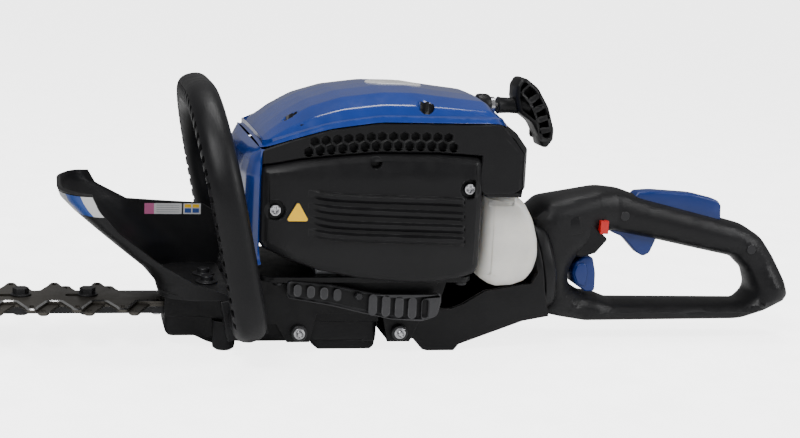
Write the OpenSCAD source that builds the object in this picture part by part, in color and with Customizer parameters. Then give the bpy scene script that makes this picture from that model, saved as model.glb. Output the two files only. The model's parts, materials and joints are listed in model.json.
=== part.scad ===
/* [Blades] */
// Distance between two teeth on one side of a blade
tooth_pitch = 35; // [30:1:40]
// Teeth along each side of a blade
tooth_count = 17; // [8:1:20]
// Width of a blade across its tooth tips
blade_w = 88; // [76:1:100]
// Width of the plain spine that carries the teeth
spine_w = 34; // [30:1:40]
// Thickness of each blade
blade_t = 3; // [2.5:0.1:3.5]
// Thickness of the guide bar under the blades
guide_t = 5; // [4:0.5:6]
// Distance between two blade bolts
bolt_pitch = 52.5; // [45:0.5:60]
// Diameter of the sleeve that a blade slides along
sleeve_d = 8; // [7:0.5:9]
// Throw of each eccentric, half of a blade's stroke
cam_throw = 8.75; // [6:0.25:10]
// How far each blade rests from the middle of its stroke
blade_rest = 4.5; // [0:0.5:6]

/* [Gear case] */
// Half width of the gear case
case_half_w = 42; // [40:1:48]
// Width of the gear case's nose, where the blades come out
nose_w = 48; // [46:1:60]
// Teeth of the pinion
pinion_teeth = 12; // [11:1:14]
// Teeth of the cam gear
cam_gear_teeth = 50; // [46:1:52]
// Gear module
gear_module = 1.25; // [1.1:0.05:1.3]
// Radius of an eccentric disc
cam_r = 15; // [15:0.5:16]
// Radius of the gear shafts
gear_shaft_r = 5; // [4:0.5:6]

/* [Engine] */
// Throw of the crankshaft, half of the piston's stroke
crank_throw = 13; // [11:0.5:14]
// Radius of the cylinder bore
bore_r = 16; // [14:0.5:17]
// Distance between the two eyes of the connecting rod
rod_length = 40; // [38:1:44]
// Radius of the crank webs
web_r = 20.5; // [20:0.5:22]
// Radius of the flywheel
flywheel_r = 46; // [40:1:52]
// Radius of the clutch drum
drum_r = 28; // [25:1:30]
// Radius at which the starter rope winds
pulley_r = 28; // [24:1:32]
// Diameter of the starter rope
rope_d = 3.5; // [3:0.5:4.5]

/* [Body] */
// Length of the engine covers along the tool
body_length = 174; // [168:1:210]
// Half of the width over the two side covers
body_half_w = 82; // [80:1:98]
// Wall of the moulded covers
cover_wall = 2.5; // [2:0.5:3]
// Height of the highest point of the top cover
body_top = 211; // [209:1:225]
// Width of the fuel tank across the tool
tank_w = 120; // [90:1:130]

/* [Front handle] */
// Distance between the middles of the two legs of the loop
loop_w = 210; // [190:1:240]
// Height of the middle of the loop's top bar
loop_top = 200; // [190:1:215]
// Diameter of the loop's tube
loop_tube_d = 24; // [20:1:28]
// Lean of the loop toward the blade
loop_lean = 11.7; // [8:0.1:14]

/* [Rear handle] */
// Width of the grip
grip_w = 34; // [30:1:40]
// Width of the lower bar of the handle
tray_w = 50; // [42:1:60]
// Length of the handle behind the turning seam
handle_length = 226; // [210:1:250]
// Radius of the turning seam's flange
flange_r = 42; // [38:1:45]
// Lean of the turning seam
seam_lean = 10; // [6:1:14]
// Wall of the handle shells
shell_wall = 3; // [2.5:0.5:4]
// Radius of the pin that the handle turns on
swivel_r = 14; // [12:1:17]

/* [Hidden] */
$fn = 48;

fit = 0.05;             // radial clearance of a running fit
play = 0.3;             // gap between pieces that move past each other

// Blade levels, from the guide bar up
guide_z = 24.6;
lower_z = guide_z + guide_t + play;
upper_z = lower_z + blade_t + play;
blade_top = upper_z + blade_t;
first_tooth_x = -175;
bar_front_x = first_tooth_x - (tooth_count - 1) * tooth_pitch - 55;
bar_rear_x = -135;
blade_rear_x = -92;
yoke_front_x = -118;
first_bolt_x = -206;
bolt_count = floor((first_bolt_x - bar_front_x - 30) / bolt_pitch) + 1;

// Gears
pinion_r = pinion_teeth * gear_module / 2;
cam_gear_r = cam_gear_teeth * gear_module / 2;
cam_x = -(pinion_r + cam_gear_r);
gear_z = 15.5;
gear_t = 8;
cam_turn = acos(blade_rest / cam_throw);
bearing_wall = 6.5;
cover_z = blade_top + blade_t + 6.8;   // top of the gear case
shaft_top = cover_z + 1;

// Engine levels
web_z = 99;
web_t = 8;
rod_z = 108;
rod_t = 8;
cyl_z = rod_z + rod_t / 2;
flywheel_z = 148;
pulley_z = 188.5;
rope_z = 194;
pin_x = crank_throw + rod_length;
rod_eye_r = 9;
// Room for the rod's eye at the rod's widest swing
crank_room = norm([pin_x - sqrt(pow(rod_length, 2) - pow(crank_throw, 2)), crank_throw]) + rod_eye_r + 0.5;
// How far the piston reaches below its pin, clear of the webs at the end of its stroke
skirt = rod_length - crank_throw - web_r - 0.5;
crown_x = pin_x + 11;
cyl_base_x = 34;

// Covers
body_front_x = -80;
body_rear_x = body_front_x + body_length;
// How far a longer body pushes the pieces behind it to the rear
rear_shift = body_length - 174;
ferrule_x = 104 + rear_shift;
side_top = 166;

// Screw shared by the covers
screw_d = 5;
screw_head_d = 10;

// Points of a box's outline with round corners are left to these two shapes
module round_square(x0, y0, x1, y1, r) {
    translate([x0 + r, y0]) square([x1 - x0 - 2 * r, y1 - y0]);
    translate([x0, y0 + r]) square([x1 - x0, y1 - y0 - 2 * r]);
    for (x = [x0 + r, x1 - r], y = [y0 + r, y1 - r]) translate([x, y]) circle(r);
}

module slot_2d(x0, x1, width) {
    translate([x0, -width / 2]) square([x1 - x0, width]);
    for (x = [x0, x1]) translate([x, 0]) circle(d = width);
}

// A flat shape drawn in X and Z, made solid from one Y to another
module side_slab(y0, y1) translate([0, y1, 0]) rotate([90, 0, 0]) linear_extrude(y1 - y0) children();

// A cylinder along Y from one Y to another
module y_pin(x, z, y0, y1, r) translate([x, y0, z]) rotate([-90, 0, 0]) cylinder(h = y1 - y0, r = r);

// A cylinder along X from one X to another
module x_pin(y, z, x0, x1, r) translate([x0, y, z]) rotate([0, 90, 0]) cylinder(h = x1 - x0, r = r);

module ring(r_out, r_in, h) difference() {
    cylinder(h = h, r = r_out);
    translate([0, 0, -1]) cylinder(h = h + 2, r = r_in);
}

// A block between two corners
module block(a, b) translate(a) cube(b - a);

// ---------- Blades ----------

module tooth_2d(side) {
    root_half = 12;
    tip_half = 5;
    root_y = spine_w / 2 - 1;
    tip_y = blade_w / 2 - tip_half;
    scale([1, side]) difference() {
        union() {
            polygon([[-root_half, root_y], [root_half, root_y], [tip_half, tip_y], [-tip_half, tip_y]]);
            translate([0, tip_y]) circle(tip_half);
        }
        translate([0, tip_y - 2]) rotate(90) slot_2d(-3, 3, 3.6);
    }
}

// One blade, moved along by shift in its rest pose
module blade(z, shift) translate([shift, 0, z]) linear_extrude(blade_t) difference() {
    union() {
        round_square(bar_front_x, -spine_w / 2, blade_rear_x - shift, spine_w / 2, 6);
        for (i = [0 : tooth_count - 1]) {
            translate([first_tooth_x - i * tooth_pitch, 0]) tooth_2d(-1);
            translate([first_tooth_x - (i + 0.5) * tooth_pitch, 0]) tooth_2d(1);
        }
    }
    for (i = [0 : bolt_count - 1])
        translate([first_bolt_x - i * bolt_pitch, 0])
            slot_2d(-cam_throw - 0.5, cam_throw + 0.5, sleeve_d + 0.6);
}

// The blade's drive plate: a slot across the tool in which an eccentric turns
module yoke(z, shift) {
    slot_half = cam_r + 0.2;
    reach = slot_half + cam_throw;
    translate([shift, 0, z]) linear_extrude(blade_t) difference() {
        union() {
            translate([yoke_front_x - shift, -spine_w / 2 + 3])
                square([cam_x - slot_half - yoke_front_x + shift, spine_w - 6]);
            translate([cam_x - slot_half - 4.5, -reach - 4.5]) square([2 * slot_half + 9, 2 * reach + 9]);
        }
        translate([cam_x - slot_half, -reach]) square([2 * slot_half, 2 * reach]);
    }
}

module rivets(z, shift) for (x = [yoke_front_x + 7, yoke_front_x + 19])
    translate([x, 0, z]) cylinder(h = 2 * blade_t, r = 3);

module upper_blade() color("#5d5850") difference() {
    blade(upper_z, -blade_rest);
    rivets(upper_z, 0);
}

module lower_blade() color("#6a6660") difference() {
    blade(lower_z, blade_rest);
    rivets(lower_z - blade_t, 0);
}

module upper_yoke() color("#8a8a8a") {
    yoke(blade_top, -blade_rest);
    rivets(upper_z, 0);
}

module lower_yoke() color("#8a8a8a") {
    yoke(lower_z - blade_t, blade_rest);
    rivets(lower_z - blade_t, 0);
}

module guide_bar() color("#3b3a38") translate([0, 0, guide_z]) difference() {
    linear_extrude(guide_t) round_square(bar_front_x + 8, -spine_w / 2 + 3, bar_rear_x, spine_w / 2 - 3, 5);
    for (i = [0 : bolt_count - 1])
        translate([first_bolt_x - i * bolt_pitch, 0, -1]) cylinder(h = guide_t + 2, r = sleeve_d / 2);
}

// Each bolt has its head under the guide bar, a sleeve through the blades and a nut on top
module blade_bolts() color("#26262a") for (i = [0 : bolt_count - 1])
    translate([first_bolt_x - i * bolt_pitch, 0, 0]) {
        translate([0, 0, guide_z - 3.5]) cylinder(h = 3.5, r = 6.5, $fn = 6);
        translate([0, 0, guide_z - 0.5]) cylinder(h = blade_top + 5 - guide_z, r = sleeve_d / 2);
        translate([0, 0, blade_top + play]) cylinder(h = 1.2, r = 8);
        translate([0, 0, blade_top + play + 1]) cylinder(h = 5, r = 6.5, $fn = 6);
    }

// ---------- Gear case ----------

// Outline of the gear case from above, shrunk by w
module case_plan(w) polygon([
    [-146 + w, -nose_w / 2 + w], [-118, -nose_w / 2 + w], [-88, -case_half_w + w], [23 - w, -case_half_w + w],
    [23 - w, case_half_w - w], [-88, case_half_w - w], [-118, nose_w / 2 - w], [-146 + w, nose_w / 2 - w]]);

case_floor = 7;
lobe_x = -98;

module gear_case() color("#1e1e20") difference() {
    intersection() {
        linear_extrude(guide_z) case_plan(0);
        side_slab(-60, 60) polygon([[-150, 30], [-140, 16], [-134, 10], [-124, 8], [lobe_x - 8, 0],
            [lobe_x + 4, 0], [lobe_x + 8, case_floor - 1], [-36, case_floor - 1], [-28, 0], [20, 0],
            [30, 6], [30, 30]]);
    }
    translate([cam_x, 0, gear_z - 0.5]) cylinder(h = 20, r = cam_gear_r + gear_module + 1.5);
    translate([cam_x, 0, case_floor + 1.5]) cylinder(h = 20, r = gear_shaft_r + bearing_wall);
    translate([0, 0, gear_z - 0.5]) cylinder(h = 20, r = pinion_r + gear_module + 2);
    translate([0, 0, 3]) cylinder(h = 20, r = gear_shaft_r + bearing_wall);
    screw_places() translate([0, 0, -1]) cylinder(h = 60, r = 2);
    yoke_room(gear_z + gear_t + 0.8, guide_z + 1);
    y_pin(mount_x[0], mount_z, -80, 80, 3);
}

module yoke_room(z0, z1) translate([0, 0, z0]) linear_extrude(z1 - z0)
    round_square(cam_x - cam_r - cam_throw - 7, -cam_r - cam_throw - 6, cam_x + cam_r + cam_throw + 10,
        cam_r + cam_throw + 6, 3);

module gear_cover() color("#232326") difference() {
    translate([0, 0, guide_z]) linear_extrude(cover_z - guide_z) case_plan(0);
    // the blades' way in through the nose
    block([-150, -spine_w / 2 - 1, guide_z - 1], [-120, spine_w / 2 + 1, blade_top + 1]);
    block([-136 - cam_throw, -spine_w / 2 - 1, guide_z - 1], [cam_x, spine_w / 2 + 1, blade_top + blade_t + 1]);
    yoke_room(guide_z - 1, blade_top + blade_t + 0.8);
    translate([cam_x, 0, blade_top]) cylinder(h = cover_z - 1 - blade_top, r = gear_shaft_r + bearing_wall);
    translate([0, 0, blade_top]) cylinder(h = 20, r = gear_shaft_r + bearing_wall);
    translate([0, 0, guide_z - 1]) cylinder(h = 20, r = gear_shaft_r + 1);
    screw_places() cylinder(h = 60, r = 2);
}

module screw_places() for (x = [-80, 16], y = [-1, 1]) translate([x, y * (case_half_w - 5), 0]) children();

module case_screws() color("silver") {
    screw_places() {
        translate([0, 0, 10]) cylinder(h = cover_z - 10, r = 2);
        translate([0, 0, cover_z]) cylinder(h = 3, r = 4);
    }
    // bolt that holds the guide bar to the nose
    translate([-150.5, 0, guide_z - 4]) cylinder(h = 4, r = 4, $fn = 6);
}

// A gear with stub teeth; each flank has the involute's points at root, pitch and tip
function spread(q, base) = let (a = acos(min(1, base / q))) tan(a) * 180 / PI - a;

module gear_2d(teeth) {
    r = teeth * gear_module / 2;
    base = r * cos(20);
    root = r - 1.1 * gear_module;
    radii = [root, r, r + 0.75 * gear_module];
    half = 90 / teeth - 0.1 / r * 180 / PI + spread(r, base);
    flank = [for (q = radii) [q, half - spread(max(q, base), base)]];
    circle(root + 0.02);
    for (i = [0 : teeth - 1]) rotate(i * 360 / teeth) polygon(concat(
        [for (f = flank) f[0] * [cos(f[1]), -sin(f[1])]],
        [for (k = [2 : -1 : 0]) flank[k][0] * [cos(flank[k][1]), sin(flank[k][1])]]));
}

// The cam gear turns on its own shaft and carries the two eccentrics, half a turn apart
module cam_gear() color("#9a9a9c") translate([cam_x, 0, 0]) {
    translate([0, 0, gear_z]) linear_extrude(gear_t) rotate(180 / cam_gear_teeth) gear_2d(cam_gear_teeth);
    translate([0, 0, case_floor + 2]) cylinder(h = shaft_top - case_floor - 4, r = gear_shaft_r);
    rotate(cam_turn) {
        translate([cam_throw, 0, lower_z + play]) cylinder(h = blade_t - play, r = cam_r);
        translate([-cam_throw, 0, upper_z]) cylinder(h = blade_t - play, r = cam_r);
    }
}

module bearing(r_shaft, h) difference() {
    cylinder(h = h, r = gear_shaft_r + bearing_wall);
    translate([0, 0, -1]) cylinder(h = h + 2, r = r_shaft + fit);
}

module cam_bearings() color("#b9b9bb") translate([cam_x, 0, 0]) {
    translate([0, 0, case_floor + 1.5]) bearing(gear_shaft_r, 6);
    translate([0, 0, blade_top + blade_t + 0.8]) bearing(gear_shaft_r, 5);
}

deck_z = 60;
deck_t = 4;
drum_z = cover_z + 2;
drum_h = deck_z - drum_z + 2;

// The clutch drum, its shaft and the pinion are one piece
module clutch_drum() color("#77777a") {
    translate([0, 0, gear_z]) linear_extrude(gear_t) gear_2d(pinion_teeth);
    translate([0, 0, 3.5]) cylinder(h = drum_z - 2, r = gear_shaft_r);
    translate([0, 0, drum_z]) cylinder(h = 2.5, r = drum_r);
    translate([0, 0, drum_z]) ring(drum_r, drum_r - 2, drum_h);
}

module drum_bearings() color("#b9b9bb") {
    translate([0, 0, 3]) bearing(gear_shaft_r, 6);
    translate([0, 0, blade_top + blade_t + 0.8]) bearing(gear_shaft_r, 5);
}

module clutch_shoes() color("#6b5a48") for (a = [0 : 120 : 240]) rotate(a) difference() {
    translate([0, 0, drum_z + 4]) rotate_extrude(angle = 112) translate([6, 0]) square([drum_r - 2.8 - 6, 9]);
    rotate(56) translate([16, 0, 0]) cylinder(h = 100, r = 2);
}

// ---------- Frame ----------

web_y = case_half_w + 1;
web_t_side = 4;
deck_half_w = 58;
mount_x = [-42, 39];
mount_z = 17.5;

// The frame's deck carries the engine; its two side webs hold the gear case, the loop and the rear arm
module chassis() color("#202022") difference() {
    union() {
        translate([0, 0, deck_z]) linear_extrude(deck_t)
            round_square(-74, -deck_half_w, body_rear_x, deck_half_w, 10);
        translate([0, 0, cover_z]) cylinder(h = deck_z - cover_z + deck_t, r = drum_r + 8);
        for (side = [-1, 1]) scale([1, side, 1]) side_slab(web_y, web_y + web_t_side) polygon([[-102, 24],
            [-60, 24], [mount_x[0] - 9, 9], [mount_x[0] + 9, 9], [mount_x[0] + 14, 32], [mount_x[1] - 14, 32],
            [mount_x[1] - 9, 9], [mount_x[1] + 9, 9], [62, 40], [70, deck_z], [-74, deck_z], [-102, 44]]);
    }
    translate([0, 0, cover_z - 1]) cylinder(h = 40, r = drum_r + 3);
    for (x = mount_x) y_pin(x, mount_z, -80, 80, 3);
    for (x = [-60, 86], y = [-1, 1]) translate([x, y * 52, deck_z - 1]) cylinder(h = 10, r = 2);
}

module chassis_screws() color("silver") for (x = [-60, 86], y = [-1, 1]) translate([x, y * 52, 0]) {
    translate([0, 0, deck_z - 3]) cylinder(h = deck_t + 3, r = 2);
    translate([0, 0, deck_z - 3]) cylinder(h = 3, r = 4.5);
}

// Each mount is a bolt through the side web with a rubber washer
module av_mounts() color("silver") for (x = mount_x, side = [-1, 1]) scale([1, side, 1]) {
    y_pin(x, mount_z, case_half_w - 6, web_y + web_t_side, 3);
    y_pin(x, mount_z, web_y + web_t_side, web_y + web_t_side + 3, 8);
    y_pin(x, mount_z, web_y + web_t_side + 3, web_y + web_t_side + 6, 5);
}

module heat_guard() color("#3a3a3c") side_slab(-deck_half_w, -deck_half_w + 2) difference() {
    polygon([[-54, deck_z], [-20, 55], [12, 51], [37, 40], [30, 31], [54, 29], [67, 33], [69, 50],
        [70, deck_z]]);
    for (i = [0 : 4]) translate([14 + i * 10, 45 - i * 0.8]) rotate(90) slot_2d(2, 7, 4.5);
    for (i = [0 : 3]) translate([-36 + i * 12, 56.5]) slot_2d(0, 5, 1.6);
}

// ---------- Blade guard ----------

guard_half_w = 60;
guard_t = 3.5;
guard_base_rear = -99;

module blade_guard() color("#1b1b1d") difference() {
    union() {
        // the shield itself
        intersection() {
            side_slab(-guard_half_w, guard_half_w)
                polygon([[-154, cover_z + 4], [-165, 67], [-192, 89], [-217, 110], [-228, 121],
                    [-231, 127], [-224, 127], [-211, 113], [-187, 92], [-160, 69.5], [-146, cover_z + 4]]);
            // rounded tip seen from the front
            translate([-300, 0, 0]) rotate([90, 0, 90]) linear_extrude(300) union() {
                translate([-guard_half_w, 0]) square([2 * guard_half_w, 96]);
                translate([0, 96]) scale(guard_half_w) intersection() {
                    circle(1, $fn = 96);
                    translate([-1, -0.1]) square([2, 0.53]);
                }
            }
        }
        block([-154, -nose_w / 2, cover_z], [guard_base_rear, nose_w / 2, cover_z + 4]);
        block([-154, -guard_half_w, cover_z + 4], [-140, guard_half_w, cover_z + 8]);
        // the near wall follows the shield, the far wall reaches back over the gear case
        side_slab(-guard_half_w, -guard_half_w + guard_t) polygon([[-154, cover_z + 4], [-165, 67], [-192, 89],
            [-217, 110], [-198, 114], [-183, 98], [-153, 75], [-126, 60], [guard_base_rear, cover_z + 6],
            [guard_base_rear, cover_z + 4]]);
        side_slab(guard_half_w - guard_t, guard_half_w) polygon([[-154, cover_z + 4], [-165, 67], [-192, 89],
            [-217, 110], [-205, 116], [-171, 99], [-139, 101], [-113, 102], [-97, 88],
            [guard_base_rear, cover_z + 4]]);
        block([-140, -guard_half_w, cover_z + 4], [-132, guard_half_w, cover_z + 8]);
    }
    guard_screw_places() translate([0, 0, cover_z - 1]) cylinder(h = 20, r = 2.5);
}

module guard_screw_places() for (y = [-1, 1]) translate([-112, y * 14, 0]) children();

module guard_screws() color("#2b2b2e") guard_screw_places() {
    translate([0, 0, cover_z]) cylinder(h = 6, r = 2.5);
    translate([0, 0, cover_z + 4]) cylinder(h = 1.5, r = 9);
    translate([0, 0, cover_z + 5.5]) cylinder(h = 4, r = 5);
}

// ---------- Front handle ----------

loop_r = loop_tube_d / 2;
loop_bend = 78;
clamp_z = 33;
clamp_x = -80 - clamp_z * tan(loop_lean);
clamp_out = 62;

// The loop lies in a leaning plane: v runs up along the lean from the level of the clamps
module loop_plane() translate([clamp_x, 0, clamp_z]) rotate([0, -loop_lean, 0]) children();

module front_handle() color("#2c2c30") {
    rise = (loop_top - clamp_z) / cos(loop_lean);
    low_bend = 26;
    loop_plane() for (side = [-1, 1]) scale([1, side, 1]) {
        // end inside the clamp, lower bend, leg, upper bend and half of the top bar
        y_pin(0, 0, web_y + web_t_side, loop_w / 2 - low_bend, loop_r);
        translate([0, loop_w / 2 - low_bend, low_bend]) rotate([0, 90, 0])
            rotate_extrude(angle = 90) translate([low_bend, 0]) circle(loop_r);
        translate([0, loop_w / 2, low_bend]) cylinder(h = rise - low_bend - loop_bend, r = loop_r);
        translate([0, loop_w / 2 - loop_bend, rise - loop_bend]) rotate([0, 90, 0]) rotate([0, 0, 90])
            rotate_extrude(angle = 90) translate([loop_bend, 0]) circle(loop_r);
        y_pin(0, rise, 0, loop_w / 2 - loop_bend, loop_r);
    }
}

module loop_clamps() color("#1c1c1e") for (side = [-1, 1]) scale([1, side, 1]) loop_plane() difference() {
    block([-loop_r - 4, web_y + web_t_side, -loop_r - 4], [loop_r + 4, clamp_out, loop_r + 4]);
    y_pin(0, 0, 0, 100, loop_r);
}

// ---------- Rear arm ----------

seam_x = 157.5;
seam_z = 64;
flange_t = 5;
arm_half_w = case_half_w;
arm_plate = 5;

// Frame of the turning seam: x runs along its axis toward the handle
module seam_frame() translate([seam_x, 0, seam_z]) rotate([0, -seam_lean, 0]) children();

module behind() translate([rear_shift, 0, 0]) children();

module rear_arm() color("#242427") difference() {
    union() {
        difference() {
            side_slab(-arm_half_w, arm_half_w) arm_side_2d(0);
            side_slab(-arm_half_w + arm_plate, arm_half_w - arm_plate) translate([0, 5]) arm_side_2d(1);
        }
        behind() seam_frame() x_pin(0, 0, -flange_t, 0, flange_r);
        // foot
        block([64, -arm_half_w, 0], [86, arm_half_w, 5]);
        // post up to the deck
        side_slab(-arm_half_w, arm_half_w) polygon([[62, 30], [70, 30], [78, deck_z], [66, deck_z]]);
    }
    behind() seam_frame() x_pin(0, 0, -30, 10, swivel_r + fit);
    for (side = [-1, 1]) scale([1, side, 1]) y_pin(mount_x[1], mount_z, case_half_w - 6, 60, 3);
    // nothing of the arm crosses the seam
    behind() seam_frame() block([0, -60, -90], [60, 60, 90]);
}

module arm_side_2d(inner) polygon([[30, 10], [52, 10], [60, 1], [64, 0], [86, 0], [90, 5],
    [142 + rear_shift, 24], [164 + rear_shift, 28], [155 + rear_shift, 68],
    [(inner ? 130 : 148) + rear_shift, 55], [110 + rear_shift, 49], [92, 38], [82, 34], [30, 34]]);

// ---------- Engine ----------

module crankcase() color("#8f9094") difference() {
    union() {
        translate([0, 0, deck_z + deck_t]) cylinder(h = 74, r = 33);
        block([10, -24, deck_z + deck_t + 22], [cyl_base_x, 24, 134]);
        block([-30, -46, deck_z + deck_t], [30, 46, deck_z + deck_t + 8]);
    }
    translate([0, 0, web_z - 1]) cylinder(h = 2 * web_t + 12, r = crank_room);
    translate([0, 0, deck_z]) cylinder(h = 100, r = 8);
    for (z = [deck_z + deck_t - 1, rod_z + rod_t + 9.8]) translate([0, 0, z]) cylinder(h = 60, r = 13);
    x_pin(0, cyl_z, 0, 60, bore_r + 1);
}

module crank_bearings() color("#b9b9bb") for (z = [86, 129]) translate([0, 0, z])
    ring(13, 6 + fit, 8);

// The crank pin is left out between the webs, where the rod's eye would turn on it
module crankshaft() color("#8a8a8c") {
    translate([0, 0, drum_z + 4]) cylinder(h = web_z - drum_z - 3, r = 6);
    translate([0, 0, web_z]) cylinder(h = web_t, r = web_r);
    translate([0, 0, rod_z + rod_t + 1]) cylinder(h = web_t, r = web_r);
    translate([0, 0, rod_z + rod_t + web_t]) cylinder(h = 178 - rod_z - rod_t - web_t, r = 6);
    translate([crank_throw, 0, web_z + web_t]) cylinder(h = 0.6, r = 5);
    translate([crank_throw, 0, rod_z + rod_t + 0.4]) cylinder(h = 0.6, r = 5);
}

module con_rod() color("#9b9b9d") translate([0, 0, rod_z]) linear_extrude(rod_t) difference() {
    union() {
        translate([crank_throw, 0]) circle(rod_eye_r);
        translate([pin_x, 0]) circle(7);
        translate([crank_throw, -4]) square([rod_length, 8]);
    }
    translate([crank_throw, 0]) circle(5.1);
    translate([pin_x, 0]) circle(4 + fit);
}

module piston() color("#b4b4b6") difference() {
    x_pin(0, cyl_z, pin_x - skirt, crown_x, bore_r - fit);
    x_pin(0, cyl_z, pin_x - skirt - 1, crown_x - 3, bore_r - 2.5);
    translate([pin_x, 0, cyl_z - 30]) cylinder(h = 60, r = 4);
}

module piston_pin() color("silver") translate([pin_x, 0, cyl_z - 14]) cylinder(h = 28, r = 4);

module cylinder_bosses() for (side = [-1, 1]) scale([1, side, 1])
    block([cyl_base_x + 8, 10, cyl_z - 12], [cyl_base_x + 26, 30, cyl_z + 12]);

module cylinder_fins() for (i = [0 : 5])
    block([cyl_base_x + 5 + i * 6, -27, cyl_z - 25], [cyl_base_x + 6.5 + i * 6, 27, cyl_z + 25]);

module engine_cylinder() color("#a4a5a8") difference() {
    union() {
        x_pin(0, cyl_z, cyl_base_x, crown_x + 9, bore_r + 4);
        block([cyl_base_x, -24, cyl_z - 24], [cyl_base_x + 4, 24, cyl_z + 22]);
        cylinder_fins();
        cylinder_bosses();
    }
    x_pin(0, cyl_z, cyl_base_x - 1, crown_x + 2, bore_r);
    x_pin(0, cyl_z, crown_x, 100, 5);
    for (side = [-1, 1]) scale([1, side, 1]) y_pin(cyl_base_x + 17, cyl_z, 12, 40, 7);
}

module spark_plug() color("#d8d4cc") {
    x_pin(0, cyl_z, crown_x + 3, crown_x + 9, 5);
    x_pin(0, cyl_z, crown_x + 9, crown_x + 14, 8);
    x_pin(0, cyl_z, crown_x + 14, crown_x + 24, 4.5);
}

module plug_cap() color("#18181a") difference() {
    union() {
        x_pin(0, cyl_z, crown_x + 15, crown_x + 28, 8);
        translate([crown_x + 24, 0, cyl_z]) cylinder(h = 26, r = 6);
    }
    x_pin(0, cyl_z, crown_x + 14, crown_x + 24, 4.5);
}

module flywheel() color("#9fa0a3") difference() {
    union() {
        translate([0, 0, flywheel_z]) cylinder(h = 6, r = flywheel_r);
        translate([0, 0, flywheel_z - 4]) cylinder(h = 18, r = 14);
        for (i = [0 : 13]) rotate(i * 360 / 14) translate([18, -1, flywheel_z + 5])
            cube([flywheel_r - 19, 2, 12]);
    }
    translate([0, 0, flywheel_z - 10]) cylinder(h = 40, r = 6);
}

module ignition_coil() color("#1a1a1c") {
    block([-16, flywheel_r + 1, flywheel_z - 2], [-6, flywheel_r + 12, flywheel_z + 8]);
    block([6, flywheel_r + 1, flywheel_z - 2], [16, flywheel_r + 12, flywheel_z + 8]);
    block([-16, flywheel_r + 12, flywheel_z - 2], [16, flywheel_r + 20, flywheel_z + 8]);
    block([-5, 33, 130], [5, flywheel_r + 12, 138]);
    block([-5, flywheel_r + 1, 138], [5, flywheel_r + 12, flywheel_z - 2]);
}

// The exhaust leaves the cylinder on the near side, the intake on the far side
module muffler() color("#5a5552") difference() {
    union() {
        block([-8, -74, 90], [76, -44, 138]);
        block([cyl_base_x + 4, -44, cyl_z - 14], [cyl_base_x + 30, -30, cyl_z + 14]);
    }
    block([-6, -72, 92], [74, -46, 136]);
    y_pin(cyl_base_x + 17, cyl_z, -50, -20, 7);
    y_pin(4, 122, -80, -70, 5);
}

module intake_stub() color("#303034") difference() {
    block([cyl_base_x + 5, 30, cyl_z - 13], [cyl_base_x + 29, 38, cyl_z + 13]);
    y_pin(cyl_base_x + 17, cyl_z, 20, 50, 7);
}

module carburettor() color("#9a9b9d") difference() {
    union() {
        block([cyl_base_x + 3, 38, cyl_z - 15], [cyl_base_x + 31, 60, cyl_z + 15]);
        y_pin(cyl_base_x + 17, cyl_z - 20, 42, 56, 8);
    }
    y_pin(cyl_base_x + 17, cyl_z, 20, 70, 6.5);
}

module air_filter() color("#c9c7bb") difference() {
    block([6, 60, 92], [76, 76, 140]);
    block([10, 64, 96], [72, 72, 136]);
    y_pin(cyl_base_x + 17, cyl_z, 50, 68, 6.5);
}

// ---------- Covers ----------

// Moves each side of an outline inward by w; the points run anticlockwise
function normal(a, b) = let (d = (b - a) / norm(b - a)) [-d[1], d[0]];
function inset(p, w) = [for (i = [0 : len(p) - 1]) let (n = len(p), a = normal(p[(i + n - 1) % n], p[i]),
    b = normal(p[i], p[(i + 1) % n])) p[i] + w * (a + b) / (1 + a * b)];

side_bottom = [[-80, 95], [-75, 90], [-56, 81], [-32, 73], [0, 66.5], [30, 63.5], [54, 63], [78, 66], [91, 70]];
side_outline = concat(side_bottom, [[body_rear_x, 78], [body_rear_x, 134],
    [body_rear_x - 2, 163.5], [56, side_top],
    [10, side_top], [-21, 163], [-51, 160], [-80, 155]]);
side_depth = 22;

// One side cover with its rim, on the far side; the near one is its mirror image
module side_shell() difference() {
    side_slab(body_half_w - side_depth, body_half_w - 3) polygon(side_outline);
    side_slab(body_half_w - side_depth - 1, body_half_w - 3 - cover_wall)
        polygon(inset(side_outline, cover_wall));
    side_screw_places() y_pin(0, 0, 0, 100, screw_d / 2);
}

module side_screw_places() for (p = [[-68, 121], [82, 138]]) translate([p[0], 0, p[1]]) children();

module side_cover() color("#1d1d1f") scale([1, -1, 1]) {
    side_shell();
    // four raised ribs with a kink
    difference() {
        side_slab(body_half_w - 3.5, body_half_w) for (z = [0 : 3])
            polygon([for (p = [[-43, 134], [-17, 131], [74, 128], [74, 124], [-17, 127], [-43, 130]])
                p - [0, z * 10]]);
    }
}

module filter_cover() color("#1d1d1f") difference() {
    union() {
        side_shell();
        side_slab(body_half_w - 3.5, body_half_w) polygon([[-40, 95], [60, 95], [60, 135], [-40, 135]]);
    }
    // way out for the choke lever and the primer bulb
    block([8, body_half_w - 20, 76], [24, body_half_w + 1, 88]);
    y_pin(50, 78, body_half_w - 30, body_half_w + 1, 8.5);
}

module cover_screws() color("silver") {
    for (side = [-1, 1]) scale([1, side, 1]) side_screw_places() {
        y_pin(0, 0, deck_half_w + 6, body_half_w - 3, screw_d / 2);
        y_pin(0, 0, body_half_w - 3, body_half_w - 1, screw_head_d / 2);
    }
    x_pin(-8, 128, -95.5, -93.05, 6.5);
    x_pin(-8, 128, -93.05, -82, screw_d / 2);
}

front_plan = [[-80, -76], [-80, 76], [-86, 74], [-91, 50], [-93, 0], [-91, -50], [-86, -74]];
front_side = [[-80, 78], [-80, 166], [-82, 168], [-90, 158], [-94, 140], [-94, 90], [-86, 80]];

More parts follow.
